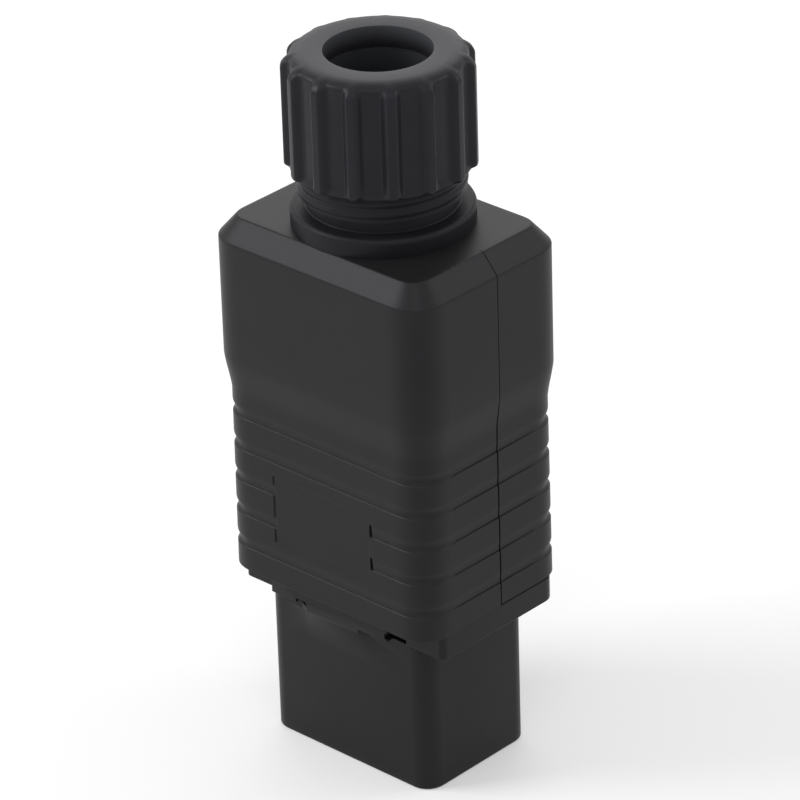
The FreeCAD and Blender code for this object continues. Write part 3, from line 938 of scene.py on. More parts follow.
@dataclass
class ShellHalf:
    """One half of the housing: side is -1 for the front half with the panel, 1 for the rear half."""

    sizes: Housing
    side: int
    node: str
    hole_r: float
    hole_y: Pair
    head_r: float = 3.1
    arc_steps: int = 14
    tightest: float = 0.6
    side_end: float = 0.4
    front_end: float = 0.5
    soft_share: float = 0.75

    def ring(self, z: float, inset: float) -> list[Point]:
        """The half's outline at one height.

        Args:
            z: the height.
            inset: how far the wall is drawn in there.

        Returns:
            Its points from the seam's +X end round the wall to its -X end.
        """
        sizes, side = self.sizes, self.side
        half_x, half_y, corner = sizes.wall_at(z)
        ledge, cut, soft = sizes.groove_at(z)
        inset += ledge
        if side > 0:
            inset += sizes.gap * (1.0 - smooth((z - sizes.bottom - sizes.gap_height) / sizes.gap_edge))
        inner_x, inner_y = half_x - corner, half_y - corner
        x, y = half_x - inset, half_y - inset
        seam_x = x - cut * sizes.cut_side
        radius = max(corner - inset, self.tightest)
        wall = [(seam_x, inner_y - sizes.groove_end), (x, inner_y - self.side_end)]
        power = 2.0 / sizes.corner_power
        for step in range(self.arc_steps + 1):
            share = step / self.arc_steps
            angle = QUARTER * share
            a, b = max(math.cos(angle), 0.0) ** power, max(math.sin(angle), 0.0) ** power
            deep = soft * smooth((1.0 - abs(2.0 * share - 1.0)) / self.soft_share)
            wall.append((x - radius + radius * a - deep * math.cos(angle),
                         y - radius + radius * b - deep * math.sin(angle)))
        start = sizes.parting
        ends = [(seam_x, start, z)]
        if side > 0:
            notch, deep = start + sizes.seam_at(z), seam_x - sizes.seam_depth
            ends = [(deep, start, z), (deep, notch, z), (seam_x, notch, z)]
        right = ends + [(a, side * b, z) for a, b in wall]
        front = []
        for place in sizes.front_places(inner_x - self.front_end):
            deep = inset + cut * sizes.cut_front
            if side < 0:
                deep = mix(max(deep, sizes.pit_at(place, z)), sizes.panel_recess, sizes.panel_at(place, z))
            front.append((place, side * (half_y - deep), z))
        return right + front[::-1] + [(-a, b, c) for a, b, c in reversed(right)]

    def build(self, material: Material) -> None:
        """Draws the wall, hollows it, and cuts the screws' way.

        Args:
            material: finish of the shell.
        """
        sizes = self.sizes
        rings = [self.ring(z, inset) for z, inset in sizes.levels()]
        obj = Solid.stack(rings).make(self.node + "_moulding", material)
        chamber = sizes.chamber().make("chamber")
        posts = (-sizes.rib_y, sizes.rib_y)
        carve(chamber, [Solid.rod(sizes.post_r, posts, x, z) for x, z in sizes.screw_places()])
        combine(obj, [chamber])
        tools = sizes.room()
        for x, z in sizes.screw_places():
            tools.append(Solid.rod(self.hole_r, self.hole_y, x, z))
            if self.side > 0:
                tools.append(Solid.rod(self.head_r, (sizes.seat_y, sizes.body_y + sizes.past), x, z))
        carve(obj, tools)
        show(obj, Slot.HOUSING, Body.HOUSING, self.node)


# Insert with the nose


@dataclass(frozen=True)
class Carrier:
    """The insert that holds the contacts, with nose, flange, front pad and collar. Sizes in mm."""

    # The nose
    nose: Pair = (14.45, 10.05)
    nose_corner: float = 2.8
    nose_edge: float = 0.35
    # The flange between nose and housing
    flange_low: float = 22.0
    flange_top: float = 25.4
    flange_side: float = 3.5
    flange_front: float = 0.3
    flange_rear: float = 2.1
    flange_corner: float = 2.2
    flange_near_corner: float = 0.9
    edge: float = 0.14
    # The pad on the front, and its flare that runs out on the nose
    pad_x: Pair = (-12.6, 8.4)
    pad_depth: float = 0.85
    pad_low: float = 21.6
    pad_root: float = 0.6
    pad_under: float = 0.03
    pad_overlap: float = 0.2
    pad_least: float = 0.03
    flare_x: Pair = (-6.3, 3.0)
    flare_z: Pair = (15.8, 22.8)
    flare_side: float = 1.5
    flare_steps: int = 16
    flare_foot: float = 0.02
    flare_sunk: float = 0.01
    flare_under: float = 0.02
    # The notches at the pad's left and at the flange's right end
    small_notch: Pair = (-8.1, -6.3)
    large_notch: Pair = (7.95, 11.35)
    small_height: float = 0.6
    large_height: float = 0.8
    notch_depth: float = 2.2
    notch_edge: float = 0.12
    # The collar inside the housing
    collar: Pair = (15.3, 10.75)
    collar_low: float = 28.4
    collar_height: float = 3.0
    collar_corner: float = 1.2
    collar_edge: float = 0.15
    # The slots, the contacts' chambers behind them and the guard screws' holes
    slot: Pair = (4.3, 1.45)
    slot_corner: float = 0.3
    slot_wall: float = 1.6
    lead: float = 0.4
    chamber: Pair = (4.33, 2.6)
    pole_x: float = 6.5
    pole_y: float = 4.0
    pilot_r: float = 1.22
    pilot_low: float = 23.9
    # How the insert is drawn: sharp edges, smallest radius, and how far tools reach past a face
    crease: float = 24.0
    least_corner: float = 0.05
    past: float = 1.0

    def layered(self, half: Pair, corner: float, z: Pair, edge: float, y: float = 0.0,
                front: float | None = None) -> Solid:
        """A rounded block with rounded ends.

        Args:
            half: half its size in X and in Y.
            corner: radius of its upright edges.
            z: its limits in Z.
            edge: radius of its level edges.
            y: how far it is moved in Y.
            front: radius of its two upright edges at the -Y side, where it differs.

        Returns:
            The closed solid.
        """
        near = corner if front is None else front
        low, high = z
        inside = 2.5 * edge
        rows = filleted([(low, inside, 0), (low, 0.0, edge), (high, 0.0, edge), (high, inside, 0)], steps=4)
        middle = [(mix(low, high, share), 0.0) for share in (0.05, 0.5, 0.6, 0.66, 0.95)]
        rings = []
        for height, inset in rows[:6] + middle + rows[6:]:
            corners = [max(radius - inset, self.least_corner) for radius in (corner, near)]
            size = (half[0] - inset, half[1] - inset)
            rings.append(rounded_ring(size, corners[0], height, (0.0, y), steps=9, front=corners[1]))
        return Solid.stack(rings)

    def pads(self) -> list[Solid]:
        """The pad on the front as three blocks, the middle one running out on the nose.

        Returns:
            The left and the right block, and the flared one.
        """
        face = -self.nose[1]
        front, root = face - self.pad_depth, face + self.pad_root
        top = self.flange_top - self.pad_under
        low, high = self.flare_x
        blocks = []
        levels = filleted([(self.pad_low, self.edge, 0), (self.pad_low, 0.0, self.edge), (top, 0.0, 0)], 4)
        left_pad = (self.pad_x[0], low + self.pad_overlap)
        right_pad = (high - self.pad_overlap, self.pad_x[1])
        for left, right in (left_pad, right_pad):
            rings = []
            for z, inset in levels:
                start, end, near = left + inset, right - inset, front + inset
                edge = max(self.edge - inset, self.pad_least)
                plan = [(start, root, 0), (start, near, edge), (end, near, edge), (end, root, 0)]
                rings.append([(x, y, z) for x, y in filleted(plan, steps=4)])
            blocks.append(Solid.stack(rings))
        foot, crest, ceiling = face + self.flare_foot, front - self.flare_sunk, top - self.flare_under
        shares = [step / self.flare_steps for step in range(self.flare_steps + 1)]
        curve = [(mix(foot, crest, smooth(share)), mix(*self.flare_z, share)) for share in shares]
        section = [(root, self.flare_z[0]), *curve, (crest, ceiling), (root, ceiling)]
        flat = [(root if y == root else foot, z) for y, z in section]
        places = (low - self.flare_side, low, high, high + self.flare_side)
        outlines = zip(places, (flat, section, section, flat))
        blocks.append(Solid.stack([[(x, y, z) for y, z in outline] for x, outline in outlines]))
        return blocks

    def mouth(self, x: float, y: float) -> Solid:
        """A slot for one blade, with its widened mouth.

        Args:
            x: its middle in X.
            y: its middle in Y.

        Returns:
            The slot as a closed solid.
        """
        chain = filleted([(-self.past, self.lead + self.past, 0), (self.lead, 0.0, self.slot_corner),
                          (self.slot_wall + 0.5, 0.0, 0)], 4)
        rings = []
        for z, grow in chain:
            half = (self.slot[0] + grow, self.slot[1] + grow)
            rings.append(rounded_ring(half, self.slot_corner + grow, z, (x, y), steps=4))
        return Solid.stack(rings)

    def cuts(self) -> list[Solid]:
        """Notches, slots, chambers and pilot holes.

        Returns:
            The solids that are cut away.
        """
        end = self.collar_low + self.collar_height + self.past
        front = (-self.nose[1] - 2.0, -self.nose[1] + self.notch_depth)
        result = [Solid.block(x, front, z, self.notch_edge) for x, z in (
            (self.small_notch, (self.pad_low - 0.2, self.pad_low + self.small_height)),
            (self.large_notch, (self.flange_low - 0.05, self.flange_low + self.large_height)),
        )]
        long, wide = self.chamber
        for x, y in ((-self.pole_x, -self.pole_y), (self.pole_x, -self.pole_y), (0.0, self.pole_y)):
            result.append(self.mouth(x, y))
            result.append(Solid.block((x - long, x + long), (y - wide, y + wide), (self.slot_wall, end)))
        for x in (-GUARD_SCREW_X, GUARD_SCREW_X):
            result.append(Solid.post(self.pilot_r, (self.pilot_low, end), x, GUARD_SCREW_Y, 40))
        return result

    def build(self, material: Material) -> None:
        """Joins the blocks, cuts the openings and shows the insert.

        Args:
            material: finish of the insert.
        """
        nose_x, nose_y = self.nose
        top = self.collar_low + self.collar_height
        obj = self.layered(self.nose, self.nose_corner, (0.0, top), self.nose_edge).make("insert", material)
        shift = (self.flange_rear - self.flange_front) / 2.0
        half = (nose_x + self.flange_side, nose_y + (self.flange_front + self.flange_rear) / 2.0)
        flange = self.layered(half, self.flange_corner, (self.flange_low, self.flange_top), self.edge, shift,
                              self.flange_near_corner)
        collar = self.layered(self.collar, self.collar_corner, (self.collar_low, top), self.collar_edge)
        carve(obj, [flange, collar] + self.pads(), Mode.JOIN)
        carve(obj, self.cuts())
        show(obj, Slot.CARRIER, Body.HOUSING, "contact_carrier", self.crease)


# Screws


@dataclass
class ScrewGroup:
    """Equal screws on a grid, drawn once and placed by Geometry Nodes. Sizes in mm."""

    name: str
    node: str
    shank_r: float
    length: float
    head_r: float
    head: float
    grid: tuple[int, int]
    spacing: Pair
    centre: Point
    turn: float
    cross: bool
    # The thread: its tip, the part without turns, and shares of the shank's radius
    tip: float = 0.9
    plain: float = 1.6
    tip_share: float = 0.35
    pitch_share: float = 0.42
    root_share: float = 0.84
    # The head: its edge, and the driver's recess as shares of its radius and height
    head_edge_share: float = 0.35
    slot_share: float = 0.16
    cross_share: float = 0.62
    depth_share: float = 0.45
    least_r: float = 0.02

    def screw(self) -> Object:
        """One screw with its head up, the head's seat at the origin.

        Returns:
            The screw, without its recess.
        """
        pitch = self.pitch_share * self.shank_r
        low = -self.length
        chain = [(self.least_r, low, 0), (self.tip_share * self.shank_r, low, 0),
                 (self.shank_r, low + self.tip, 0)]
        for i in range(int((self.length - self.plain) / pitch)):
            z = low + self.tip + i * pitch
            chain.append((self.shank_r, z + 0.1 * pitch, 0))
            chain.append((self.root_share * self.shank_r, z + 0.5 * pitch, 0))
            chain.append((self.shank_r, z + 0.9 * pitch, 0))
        chain += [(self.shank_r, 0.0, 0), (self.head_r, 0.0, 0.08),
                  (self.head_r, self.head, self.head_edge_share * self.head), (self.least_r, self.head, 0)]
        return Solid.turned(filleted(chain, 4), 40, looped=False).make(self.name)

    def driver(self) -> list[Solid]:
        """The recess in the head: a cross or one slot.

        Returns:
            The solids that are cut away.
        """
        half, reach = self.slot_share * self.head_r, self.cross_share * self.head_r
        low = self.depth_share * self.head
        across, height = (-half, half), (low, 2 * self.head)
        if not self.cross:
            return [Solid.block((-2 * self.head_r, 2 * self.head_r), across, height)]
        return [Solid.block(x, y, height) for x, y in (((-reach, reach), across), (across, (-reach, reach)))]

    def build(self, material: Material) -> None:
        """Draws the screw, places its copies and shows them as one piece.

        Args:
            material: finish of the screws.
        """
        obj = self.screw()
        carve(obj, self.driver())
        recipe = Recipe("screw_grid", {
            "Across": self.spacing[0] * MM, "Along": self.spacing[1] * MM,
            "Count across": self.grid[0], "Count along": self.grid[1],
            "Place X": self.centre[0] * MM, "Place Y": self.centre[1] * MM, "Place Z": self.centre[2] * MM,
            "Turn": math.radians(self.turn),
        })
        given = recipe.given
        grid = recipe.node("GeometryNodeMeshGrid", {
            "Size X": given("Across"), "Size Y": given("Along"),
            "Vertices X": given("Count across"), "Vertices Y": given("Count along"),
        })
        copies = recipe.node("GeometryNodeInstanceOnPoints", {
            "Points": grid.outputs["Mesh"], "Instance": given("Geometry"),
        })
        place = recipe.node("ShaderNodeCombineXYZ", {axis: given("Place " + axis) for axis in "XYZ"})
        turn = recipe.node("ShaderNodeCombineXYZ", {"X": given("Turn")})
        moved = recipe.node("GeometryNodeTransform", {
            "Geometry": copies.outputs["Instances"],
            "Translation": place.outputs[0],
            "Rotation": turn.outputs[0],
        })
        recipe.run(obj, moved.outputs["Geometry"], material)
        show(obj, Slot.STEEL, Body.HOUSING, self.node)


# Gland


@dataclass(frozen=True)
class GlandNeck:
    """The captured plate, the collar on the housing and the threaded neck. Sizes in mm."""

    low: float
    top: float
    # The plate that the housing holds
    plate: Pair = (13.0, 11.0)
    plate_corner: float = 3.0
    plate_low: float = 70.45
    plate_height: float = 4.0
    housing_top: float = 77.05
    sleeve_r: float = 9.0
    neck_r: float = 9.9
    # The collar on the housing's top
    collar_r: float = 12.1
    collar_rise: float = 0.05
    collar: float = 2.65
    collar_edge: float = 0.7
    collar_steps: int = 12
    # The thread and the waist below it
    thread_r: float = 11.1
    root_r: float = 10.9
    waist_r: float = 9.95
    waist_step: float = 0.4
    thread_low: float = 81.6
    thread_end: float = 0.7
    thread_flat: float = 0.15
    run_out: float = 0.5
    pitch: float = 1.5
    phase: float = 0.24
    # The way through, with the seal's seat
    passage_r: float = 6.6
    seat_r: float = 8.3
    seat: float = 9.0
    edge: float = 0.3
    overlap: float = 0.8
    # How finely the neck is drawn
    columns: int = 144
    rows_a_turn: int = 12

    @classmethod
    def from_frame(cls) -> "GlandNeck":
        """Reads the ends from the CAD piece."""
        low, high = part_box("gland_body")
        return cls(low=low.z / MM, top=high.z / MM)

    def profile(self) -> tuple[list[Pair], int, int]:
        """The turned section, without the helix.

        Returns:
            The points of the section, how many come before the threaded wall, and how many are on it.
        """
        step = self.plate_low + self.plate_height / 2.0
        collar_top = self.housing_top + self.collar
        below = [(self.sleeve_r, step), (self.neck_r, step), (self.neck_r, self.housing_top),
                 (self.collar_r - self.collar_rise, self.housing_top)]
        for i in range(self.collar_steps + 1):
            angle = QUARTER * i / self.collar_steps
            inset = self.collar_edge * (1.0 - math.cos(angle))
            below.append((self.collar_r - inset, collar_top - self.collar_edge * (1.0 - math.sin(angle))))
        below += filleted([(self.waist_r + self.waist_step, collar_top, 0), (self.waist_r, collar_top, 0.2),
                           (self.waist_r, self.thread_low, 0)], steps=4)
        end = self.top - self.thread_end
        rows = int((end - self.thread_low) / self.pitch * self.rows_a_turn)
        wall = [(self.thread_r, mix(self.thread_low, end, i / rows)) for i in range(rows + 1)]
        above = filleted([
            (self.root_r, self.top, 0), (self.seat_r, self.top, 0.25), (self.seat_r, self.top - self.seat, 0),
            (self.passage_r, self.top - self.seat, self.edge), (self.passage_r, self.low, self.edge),
            (self.sleeve_r, self.low, self.edge), (self.sleeve_r, step - 0.5, 0),
        ], steps=4)
        return below + wall + above, len(below), len(wall)

    def cut_thread(self, obj: Object, first: int, rows: int, material: Material) -> None:
        """Sinks a right-hand thread into the wall with Geometry Nodes.

        Args:
            obj: the turned neck.
            first: number of its first threaded ring.
            rows: number of threaded rings.
            material: finish of the neck.
        """
        mark = obj.data.attributes.new("threaded", "FLOAT", "POINT")
        for i in range(first * self.columns, (first + rows) * self.columns):
            mark.data[i].value = 1.0
        recipe = Recipe("helical_thread", {
            "Pitch": self.pitch * MM, "Crest": self.thread_r * MM,
            "Depth": (self.thread_r - self.root_r) * MM, "Start": self.thread_low * MM,
            "End": (self.top - self.thread_end) * MM, "Run-out": self.run_out * MM,
            "Flat": self.thread_flat, "Phase": self.phase,
        })
        work, given = recipe.math, recipe.given
        place = recipe.node("GeometryNodeInputPosition").outputs[0]
        x, y, z = recipe.node("ShaderNodeSeparateXYZ", {0: place}).outputs
        turn = work("DIVIDE", work("ARCTAN2", y, x), FULL_TURN)
        phase = work("ADD", work("SUBTRACT", work("DIVIDE", z, given("Pitch")), turn), given("Phase"))
        wave = work("MULTIPLY", work("PINGPONG", phase, 0.5), 2.0)
        ridge = recipe.node("ShaderNodeMapRange", {
            "Value": wave, "From Min": given("Flat"), "From Max": work("SUBTRACT", 1.0, given("Flat")),
        }, interpolation_type="SMOOTHSTEP")
        lead = work("DIVIDE", work("SUBTRACT", z, given("Start")), given("Run-out"))
        rest = work("DIVIDE", work("SUBTRACT", given("End"), z), given("Run-out"))
        fade = work("MAXIMUM", work("MINIMUM", work("MINIMUM", lead, rest), 1.0), 0.0)
        height = work("MULTIPLY", ridge.outputs["Result"], fade)
        named = recipe.node("GeometryNodeInputNamedAttribute", {"Name": "threaded"}, data_type="FLOAT")
        sink = work("MULTIPLY", work("SUBTRACT", 1.0, height), given("Depth"))
        sink = work("MULTIPLY", sink, named.outputs["Attribute"])
        share = work("DIVIDE", work("MULTIPLY", sink, -1.0), given("Crest"))
        offset = recipe.node("ShaderNodeCombineXYZ", {
            "X": work("MULTIPLY", x, share), "Y": work("MULTIPLY", y, share),
        })
        moved = recipe.node("GeometryNodeSetPosition", {
            "Geometry": given("Geometry"), "Offset": offset.outputs[0],
        })
        recipe.run(obj, moved.outputs["Geometry"], material)

    def build(self, material: Material) -> None:
        """Turns the neck, cuts its thread, joins the plate and shows the piece.

        Args:
            material: finish of the neck.
        """
        profile, first, rows = self.profile()
        obj = Solid.turned(profile, self.columns).make("threaded_neck", material)
        self.cut_thread(obj, first, rows, material)
        low, high = self.plate_low, self.plate_low + self.plate_height
        plate = Solid.stack([rounded_ring(self.plate, self.plate_corner, z) for z in (low, high)])
        helper = plate.make("plate", material)
        carve(helper, [Solid.post(self.sleeve_r - self.overlap, (low - 1.0, high + 1.0))])
        combine(obj, [helper], Mode.JOIN)
        show(obj, Slot.GLAND, Body.HOUSING, "gland_body")


@dataclass(frozen=True)
class GlandNut:
    """The dome nut. One rib's sector is drawn, and Geometry Nodes turn it into the whole nut. Sizes in mm."""

    low: float
    top: float
    # The ribs: number, first one's angle, and the radii between and on them
    ribs: int = 15
    first_rib: float = 8.0
    valley_r: float = 11.55
    crest_r: float = 12.57
    # The foot and the skirt, which stands out a little between the ribs
    foot: float = 0.25
    skirt: float = 0.38
    skirt_height: float = 1.3
    # A rib's half width at its middle, foot and tip, and the slope at its sides
    rib_half: float = 1.6
    rib_foot: float = 1.2
    rib_tip: float = 0.6
    rib_start: float = 0.6
    rib_start_inset: float = 0.3
    rib_margin: float = 1.12
    flank: float = 1.15
    # The shoulder, from where it starts on the ribs and between them to the rim
    rib_drop: float = 2.1
    valley_drop: float = 1.05
    valley_share: float = 0.35
    cap_steps: int = 20
    rim_r: float = 9.4
    # The bore, the roof and the ring's seat under it
    bore_r: float = 7.1
    funnel: float = 0.03
    funnel_height: float = 0.3
    bore_edge: float = 0.02
    roof: float = 3.0
    seat_r: float = 10.3
    seat: float = 1.6
    thread_r: float = 11.16
    mouth: float = 0.5
    mouth_growth: float = 0.12
    columns: int = 20
    merge: float = 0.002

    @classmethod
    def from_frame(cls) -> "GlandNut":
        """Reads the nut's ends from the CAD piece."""
        low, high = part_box("gland_nut")
        return cls(low=low.z / MM, top=high.z / MM)

    def skirt_rows(self) -> list[Row]:
        """The foot and the straight wall, as rows() gives them.

        Returns:
            The rows from the foot up.
        """
        straight = self.top - self.rib_drop - self.low
        rises = [0.0, 0.03, 0.09, 0.17, self.foot, 0.4, 0.6, 0.85, 1.1, self.skirt_height]
        rises += [mix(self.skirt_height, straight, share) for share in (0.2, 0.4, 0.6, 0.8, 1.0)]
        rows = []
        for rise in rises:
            turn = max(1.0 - rise / self.foot, 0.0)
            inset = self.foot * (1.0 - math.sqrt(1.0 - turn ** 2))
            start = max(1.0 - rise / self.rib_start, 0.0)
            valley = self.valley_r + self.skirt * (1.0 - smooth(rise / self.skirt_height)) - inset
            crest = self.crest_r - self.rib_start_inset * (1.0 - math.sqrt(1.0 - start ** 2)) - inset
            z = self.low + rise
            rows.append(((valley, z), (crest, z), mix(self.rib_half, self.rib_foot, start)))
        return rows

    def cap_rows(self) -> list[Row]:
        """The rounded shoulder, over which the ribs run out to a point, as rows() gives them.

        Returns:
            The rows from the wall to the rim.
        """
        rows = []
        rib_start, valley_start = self.top - self.rib_drop, self.top - self.valley_drop
        for step in range(1, self.cap_steps + 1):
            share = step / self.cap_steps
            angle = QUARTER * share
            crest = (mix(self.rim_r, self.crest_r, math.cos(angle)),
                     mix(rib_start, self.top, math.sin(angle)))
            straight = min(share / self.valley_share, 1.0)
            angle = QUARTER * max(share - self.valley_share, 0.0) / (1.0 - self.valley_share)
            valley = (mix(self.rim_r, self.valley_r, math.cos(angle)),
                      mix(mix(rib_start, valley_start, straight), self.top, math.sin(angle)))
            rows.append((valley, crest, mix(self.rib_half, self.rib_tip, share ** 2)))
        return rows

    def rows(self) -> list[Row]:
        """The closed section from the foot's inner edge outward, up, over the top and down the bore.

        Returns:
            At each step the point (r, z) in a valley, the point on a rib, and half the rib's width.
        """
        roof = self.top - self.roof
        foot = [(self.thread_r, self.low + self.mouth), (self.thread_r + self.mouth_growth, self.low)]
        inner = filleted([
            (self.rim_r - 0.5, self.top, 0), (self.bore_r + self.funnel, self.top, self.bore_edge),
            (self.bore_r, self.top - self.funnel_height, 0.1), (self.bore_r, roof, 0), (self.seat_r, roof, 0),
            (self.seat_r, roof - self.seat, 0), (self.thread_r, roof - self.seat, 0),
        ], steps=5)
        start, end = ([(point, point, self.rib_half) for point in part] for part in (foot, inner))
        return start + self.skirt_rows() + self.cap_rows() + end

    def sector(self) -> Solid:
        """One sector, from the middle of a valley to the middle of the next.

        Returns:
            The open strip, whose sides meet the next sectors'.
        """
        half = self.crest_r * (FULL_TURN / self.ribs) / 2.0
        inside = [self.rib_half * self.rib_margin * i / self.columns for i in range(self.columns + 1)]
        across = inside + [mix(inside[-1], half, share) for share in (0.3, 0.65, 1.0)]
        across = [-a for a in reversed(across) if a > 0.0] + across
        rows = self.rows()
        points, faces = [], []
        for valley, crest, half_rib in rows:
            for place in across:
                share = smooth((half_rib - abs(place)) / self.flank)
                radius, z = (mix(low, high, share) for low, high in zip(valley, crest))
                angle = place / self.crest_r
                points.append((radius * math.cos(angle), radius * math.sin(angle), z))
        width = len(across)
        for row in range(len(rows)):
            low, high = row * width, (row + 1) % len(rows) * width
            faces += [(low + i, low + i + 1, high + i + 1, high + i) for i in range(width - 1)]
        return Solid(points, faces)

    def build(self, material: Material) -> None:
        """Draws the sector, repeats it round the axis and shows the nut.

        Args:
            material: finish of the nut.
        """
        obj = self.sector().make("ribbed_nut", material)
        recipe = Recipe("rib_ring", {
            "Ribs": self.ribs, "First rib": math.radians(self.first_rib), "Merge distance": self.merge * MM,
        })
        points = recipe.node("GeometryNodePoints", {"Count": recipe.given("Ribs")})
        index = recipe.node("GeometryNodeInputIndex").outputs[0]
        step = recipe.math("DIVIDE", FULL_TURN, recipe.given("Ribs"))
        angle = recipe.math("ADD", recipe.math("MULTIPLY", index, step), recipe.given("First rib"))
        turn = recipe.node("ShaderNodeCombineXYZ", {"Z": angle})
        copies = recipe.node("GeometryNodeInstanceOnPoints", {
            "Points": points.outputs[0], "Instance": recipe.given("Geometry"), "Rotation": turn.outputs[0],
        })
        recipe.run(obj, copies.outputs["Instances"], material, merge=True)
        face_outward(obj.data)
        show(obj, Slot.NUT, Body.NUT, "gland_nut")


@dataclass(frozen=True)
class TurnedRing:
    """A turned ring with soft edges: its section is a chain of (r, z, edge radius) in mm."""

    name: str
    node: str
    slot: Slot
    body: Body
    section: Sequence[Corner]
    columns: int = 120

    def build(self, material: Material) -> None:
        """Turns the section and shows the ring."""
        obj = Solid.turned(filleted(self.section, 4, closed=True), self.columns).make(self.name, material)
        show(obj, self.slot, self.body, self.node)


def cable_seal() -> TurnedRing:
    """The rubber bush, its size taken from the frame, with a soft mouth.

    Returns:
        The bush, ready to build.
    """
    low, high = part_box("cable_seal")
    bore, outer, z_low, z_high = 5.6, high.x / MM, low.z / MM, high.z / MM
    section = [(bore, z_low, 0.3), (outer, z_low, 0.4), (outer, z_high, 0.5), (bore + 0.7, z_high, 0.3),
               (bore, z_high - 0.9, 0.5)]
    return TurnedRing("rubber_bush", "cable_seal", Slot.SEAL, Body.HOUSING, section)


def slip_ring() -> TurnedRing:
    """The ring between nut and seal, its size taken from the frame.

    Returns:
        The ring, ready to build.
    """
    low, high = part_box("slip_ring")
    bore, hub, outer, z_low, z_high = 7.3, 8.0, high.x / MM, low.z / MM, high.z / MM
    step = z_high - 1.15
    section = [(bore, z_low, 0.2), (hub, z_low, 0.2), (hub, step, 0.15), (outer, step, 0.15),
               (outer, z_high, 0.15), (bore, z_high, 0.25)]
    return TurnedRing("pressure_ring", "slip_ring", Slot.RING, Body.RING, section)


# Studio


def toward(azimuth: float, elevation: float) -> Vector:
    """The direction to a place seen from the object, at angles in degrees."""
    az, el = math.radians(azimuth), math.radians(elevation)
    return Vector((math.sin(az) * math.cos(el), -math.cos(az) * math.cos(el), math.sin(el)))


def seen(tree: NodeTree) -> NodeSocket:
    """Adds nodes that give 1 for camera, glossy and transmission rays.

    Args:
        tree: the tree of the floor or of the world.

    Returns:
        The socket that holds the value.
    """
    path = add(tree, "ShaderNodeLightPath").outputs
    first = work_out(tree, "MAXIMUM", path["Is Camera Ray"], path["Is Glossy Ray"])
    return work_out(tree, "MAXIMUM", first, path["Is Transmission Ray"])


@dataclass(frozen=True)
class SoftBox:
    """A square lamp that looks at the object. Lengths in mm, angles in degrees."""

    name: str
    azimuth: float
    elevation: float
    size: float
    radiance: float
    distance: float = 800.0
    aim_height: float = 50.0

    def build(self) -> None:
        """Makes the lamp, as bright at any size."""
        back = toward(self.azimuth, self.elevation)
        data = bpy.data.lights.new(self.name, "AREA")
        data.shape = "SQUARE"
        data.size = self.size * MM
        data.energy = self.radiance * math.pi * (self.size * MM) ** 2
        obj = placed(self.name, data)
        obj.location = (back * self.distance + Vector((0.0, 0.0, self.aim_height))) * MM
        obj.rotation_mode = "QUATERNION"
        obj.rotation_quaternion = back.to_track_quat("Z", "Y")


@dataclass(frozen=True)
class Studio:
    """Camera at the photograph's angle, pale floor and soft light. Lengths in mm, angles in degrees."""

    azimuth: float = 43.41
    elevation: float = 28.10
    roll: float = -1.84
    distance: float = 703.6
    aim_right: float = 1.35
    aim_height: float = 50.37
    focal_pixels: float = 5359.59
    frame_pixels: float = 800.0
    sensor: float = 36.0
    clip: Pair = (50.0, 50000.0)
    floor_size: float = 6000.0
    floor_drop: float = 0.02
    floor_tone: float = 0.8
    floor_roughness: float = 0.9
    floor_glow: float = 0.25
    world_light: float = 0.6
    lamps: tuple[SoftBox, ...] = (
        SoftBox("left_box", -46.0, 36.0, 340.0, 7.4),
        SoftBox("right_box", 138.0, 34.0, 300.0, 2.4),
        SoftBox("rear_box", 223.0, 34.0, 560.0, 1.07),
        SoftBox("front_box", 43.0, 56.0, 260.0, 2.0),
    )

    def build(self) -> None:
        """Makes camera, floor, lamps and world."""
        bpy.context.scene.view_settings.view_transform = "Standard"
        self.camera()
        self.floor()
        for lamp in self.lamps:
            lamp.build()
        self.world()

    def camera(self) -> None:
        """Makes the camera and sets it as the scene's."""
        az, roll = math.radians(self.azimuth), math.radians(self.roll)
        back = toward(self.azimuth, self.elevation)
        level = Vector((math.cos(az), math.sin(az), 0.0))
        above = back.cross(level)
        right = level * math.cos(roll) + above * math.sin(roll)
        up = above * math.cos(roll) - level * math.sin(roll)
        aim = level * self.aim_right + Vector((0.0, 0.0, self.aim_height))
        data = bpy.data.cameras.new("camera")
        data.sensor_width = self.sensor
        data.lens = data.sensor_width * self.focal_pixels / self.frame_pixels
        data.clip_start, data.clip_end = (end * MM for end in self.clip)
        obj = placed("camera", data)
        axes = Matrix((right, up, back)).transposed().to_4x4()
        obj.matrix_world = Matrix.Translation((aim + back * self.distance) * MM) @ axes
        bpy.context.scene.camera = obj

    def floor(self) -> None:
        """Makes the pale floor that keeps the object's shadow, and glows a little where it is seen."""
        half = self.floor_size / 2 * MM
        corners = [(-half, -half, 0), (half, -half, 0), (half, half, 0), (-half, half, 0)]
        mesh = bpy.data.meshes.new("floor")
        mesh.from_pydata(corners, [], [(0, 1, 2, 3)])
        obj = placed("floor", mesh)
        obj.location.z = -self.floor_drop * MM
        material, tree, shader = blank("pale_floor")
        white = (1.0, 1.0, 1.0)
        feed(tree, shader, {
            "Base Color": shade(white, self.floor_tone),
            "Roughness": self.floor_roughness,
            "Specular IOR Level": 0.0,
            "Emission Color": shade(white),
            "Emission Strength": work_out(tree, "MULTIPLY", seen(tree), self.floor_glow),
        })
        mesh.materials.append(material)

    def world(self) -> None:
        """Makes a white surround that lights the object at a plain level."""
        world = bpy.data.worlds.new("surround")
        bpy.context.scene.world = world
        world.use_nodes = True
        tree = world.node_tree
        range_inputs = {"Value": seen(tree), "To Min": self.world_light, "To Max": 1.0}
        level = add(tree, "ShaderNodeMapRange", range_inputs).outputs["Result"]
        feed(tree, tree.nodes["Background"], {"Color": (1.0, 1.0, 1.0, 1.0), "Strength": level})


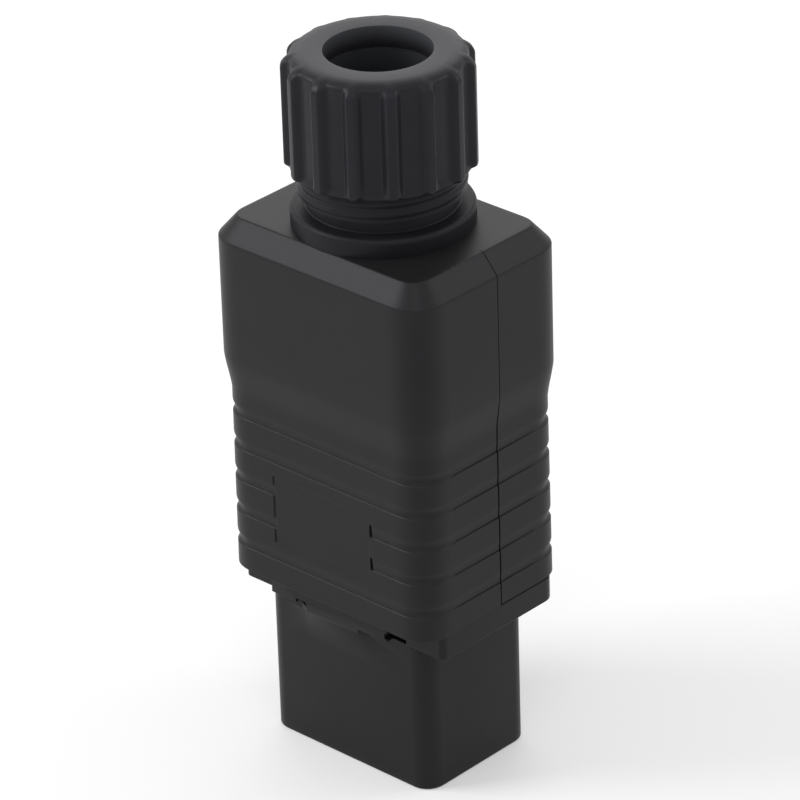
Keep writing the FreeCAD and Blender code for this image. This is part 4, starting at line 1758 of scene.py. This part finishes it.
@dataclass
class CarriedParts:
    """CAD nodes that keep their own shape and get a finish."""

    nodes: dict[str, Slot]

    def dress(self, frame: dict, materials: dict[Slot, Material]) -> None:
        """Gives each node its material.

        Args:
            materials: the material of each slot.
        """
        for name, slot in self.nodes.items():
            mesh = frame["nodes"][name].data
            mesh.materials.clear()
            mesh.materials.append(materials[slot])
            log.info("%s keeps its shape, finish %s", name, slot.value)


def screw_groups(housing: Housing) -> list[ScrewGroup]:
    """The screws that close the shells, on the rear shell's seats, and those that hold the guard.

    Args:
        housing: sizes of the housing that they close.

    Returns:
        Both groups, ready to build.
    """
    low, high = housing.screw_z
    middle = (0.0, housing.seat_y, (low + high) / 2.0)
    spread_out = (2.0 * housing.screw_x, high - low)
    head = 1.5
    seat = (0.0, GUARD_SCREW_Y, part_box("guard_screws")[1].z / MM - head)
    return [
        ScrewGroup("closing_screw", "shell_screws", shank_r=1.4, length=17.0, head_r=2.8, head=2.0,
                   grid=(2, 2), spacing=spread_out, centre=middle, turn=-90.0, cross=True),
        ScrewGroup("guard_screw", "guard_screws", shank_r=1.2, length=9.0, head_r=2.2, head=head,
                   grid=(2, 1), spacing=(2.0 * GUARD_SCREW_X, 0.0), centre=seat, turn=0.0, cross=False),
    ]


def main() -> None:
    """Builds the connector's looks on the frame, class by class."""
    logging.basicConfig(level=logging.INFO, format="%(message)s")
    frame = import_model()
    Studio().build()
    materials = {slot: finish.make() for slot, finish in FINISHES.items()}
    slots = {part["node"]: Slot(part["material_slot"]) for part in frame["record"]["subparts"]}
    CarriedParts(slots).dress(frame, materials)
    housing = Housing.from_frame()
    for half in (ShellHalf(housing, -1, "front_shell", hole_r=1.42, hole_y=(-6.5, 2.0)),
                 ShellHalf(housing, 1, "rear_shell", hole_r=1.7, hole_y=(-0.2, housing.seat_y + 1.0))):
        half.build(materials[Slot.HOUSING])
    Carrier().build(materials[Slot.CARRIER])
    for group in screw_groups(housing):
        group.build(materials[Slot.STEEL])
    GlandNeck.from_frame().build(materials[Slot.GLAND])
    GlandNut.from_frame().build(materials[Slot.NUT])
    for ring in (cable_seal(), slip_ring()):
        ring.build(materials[ring.slot])


if __name__ == "__main__":
    main()
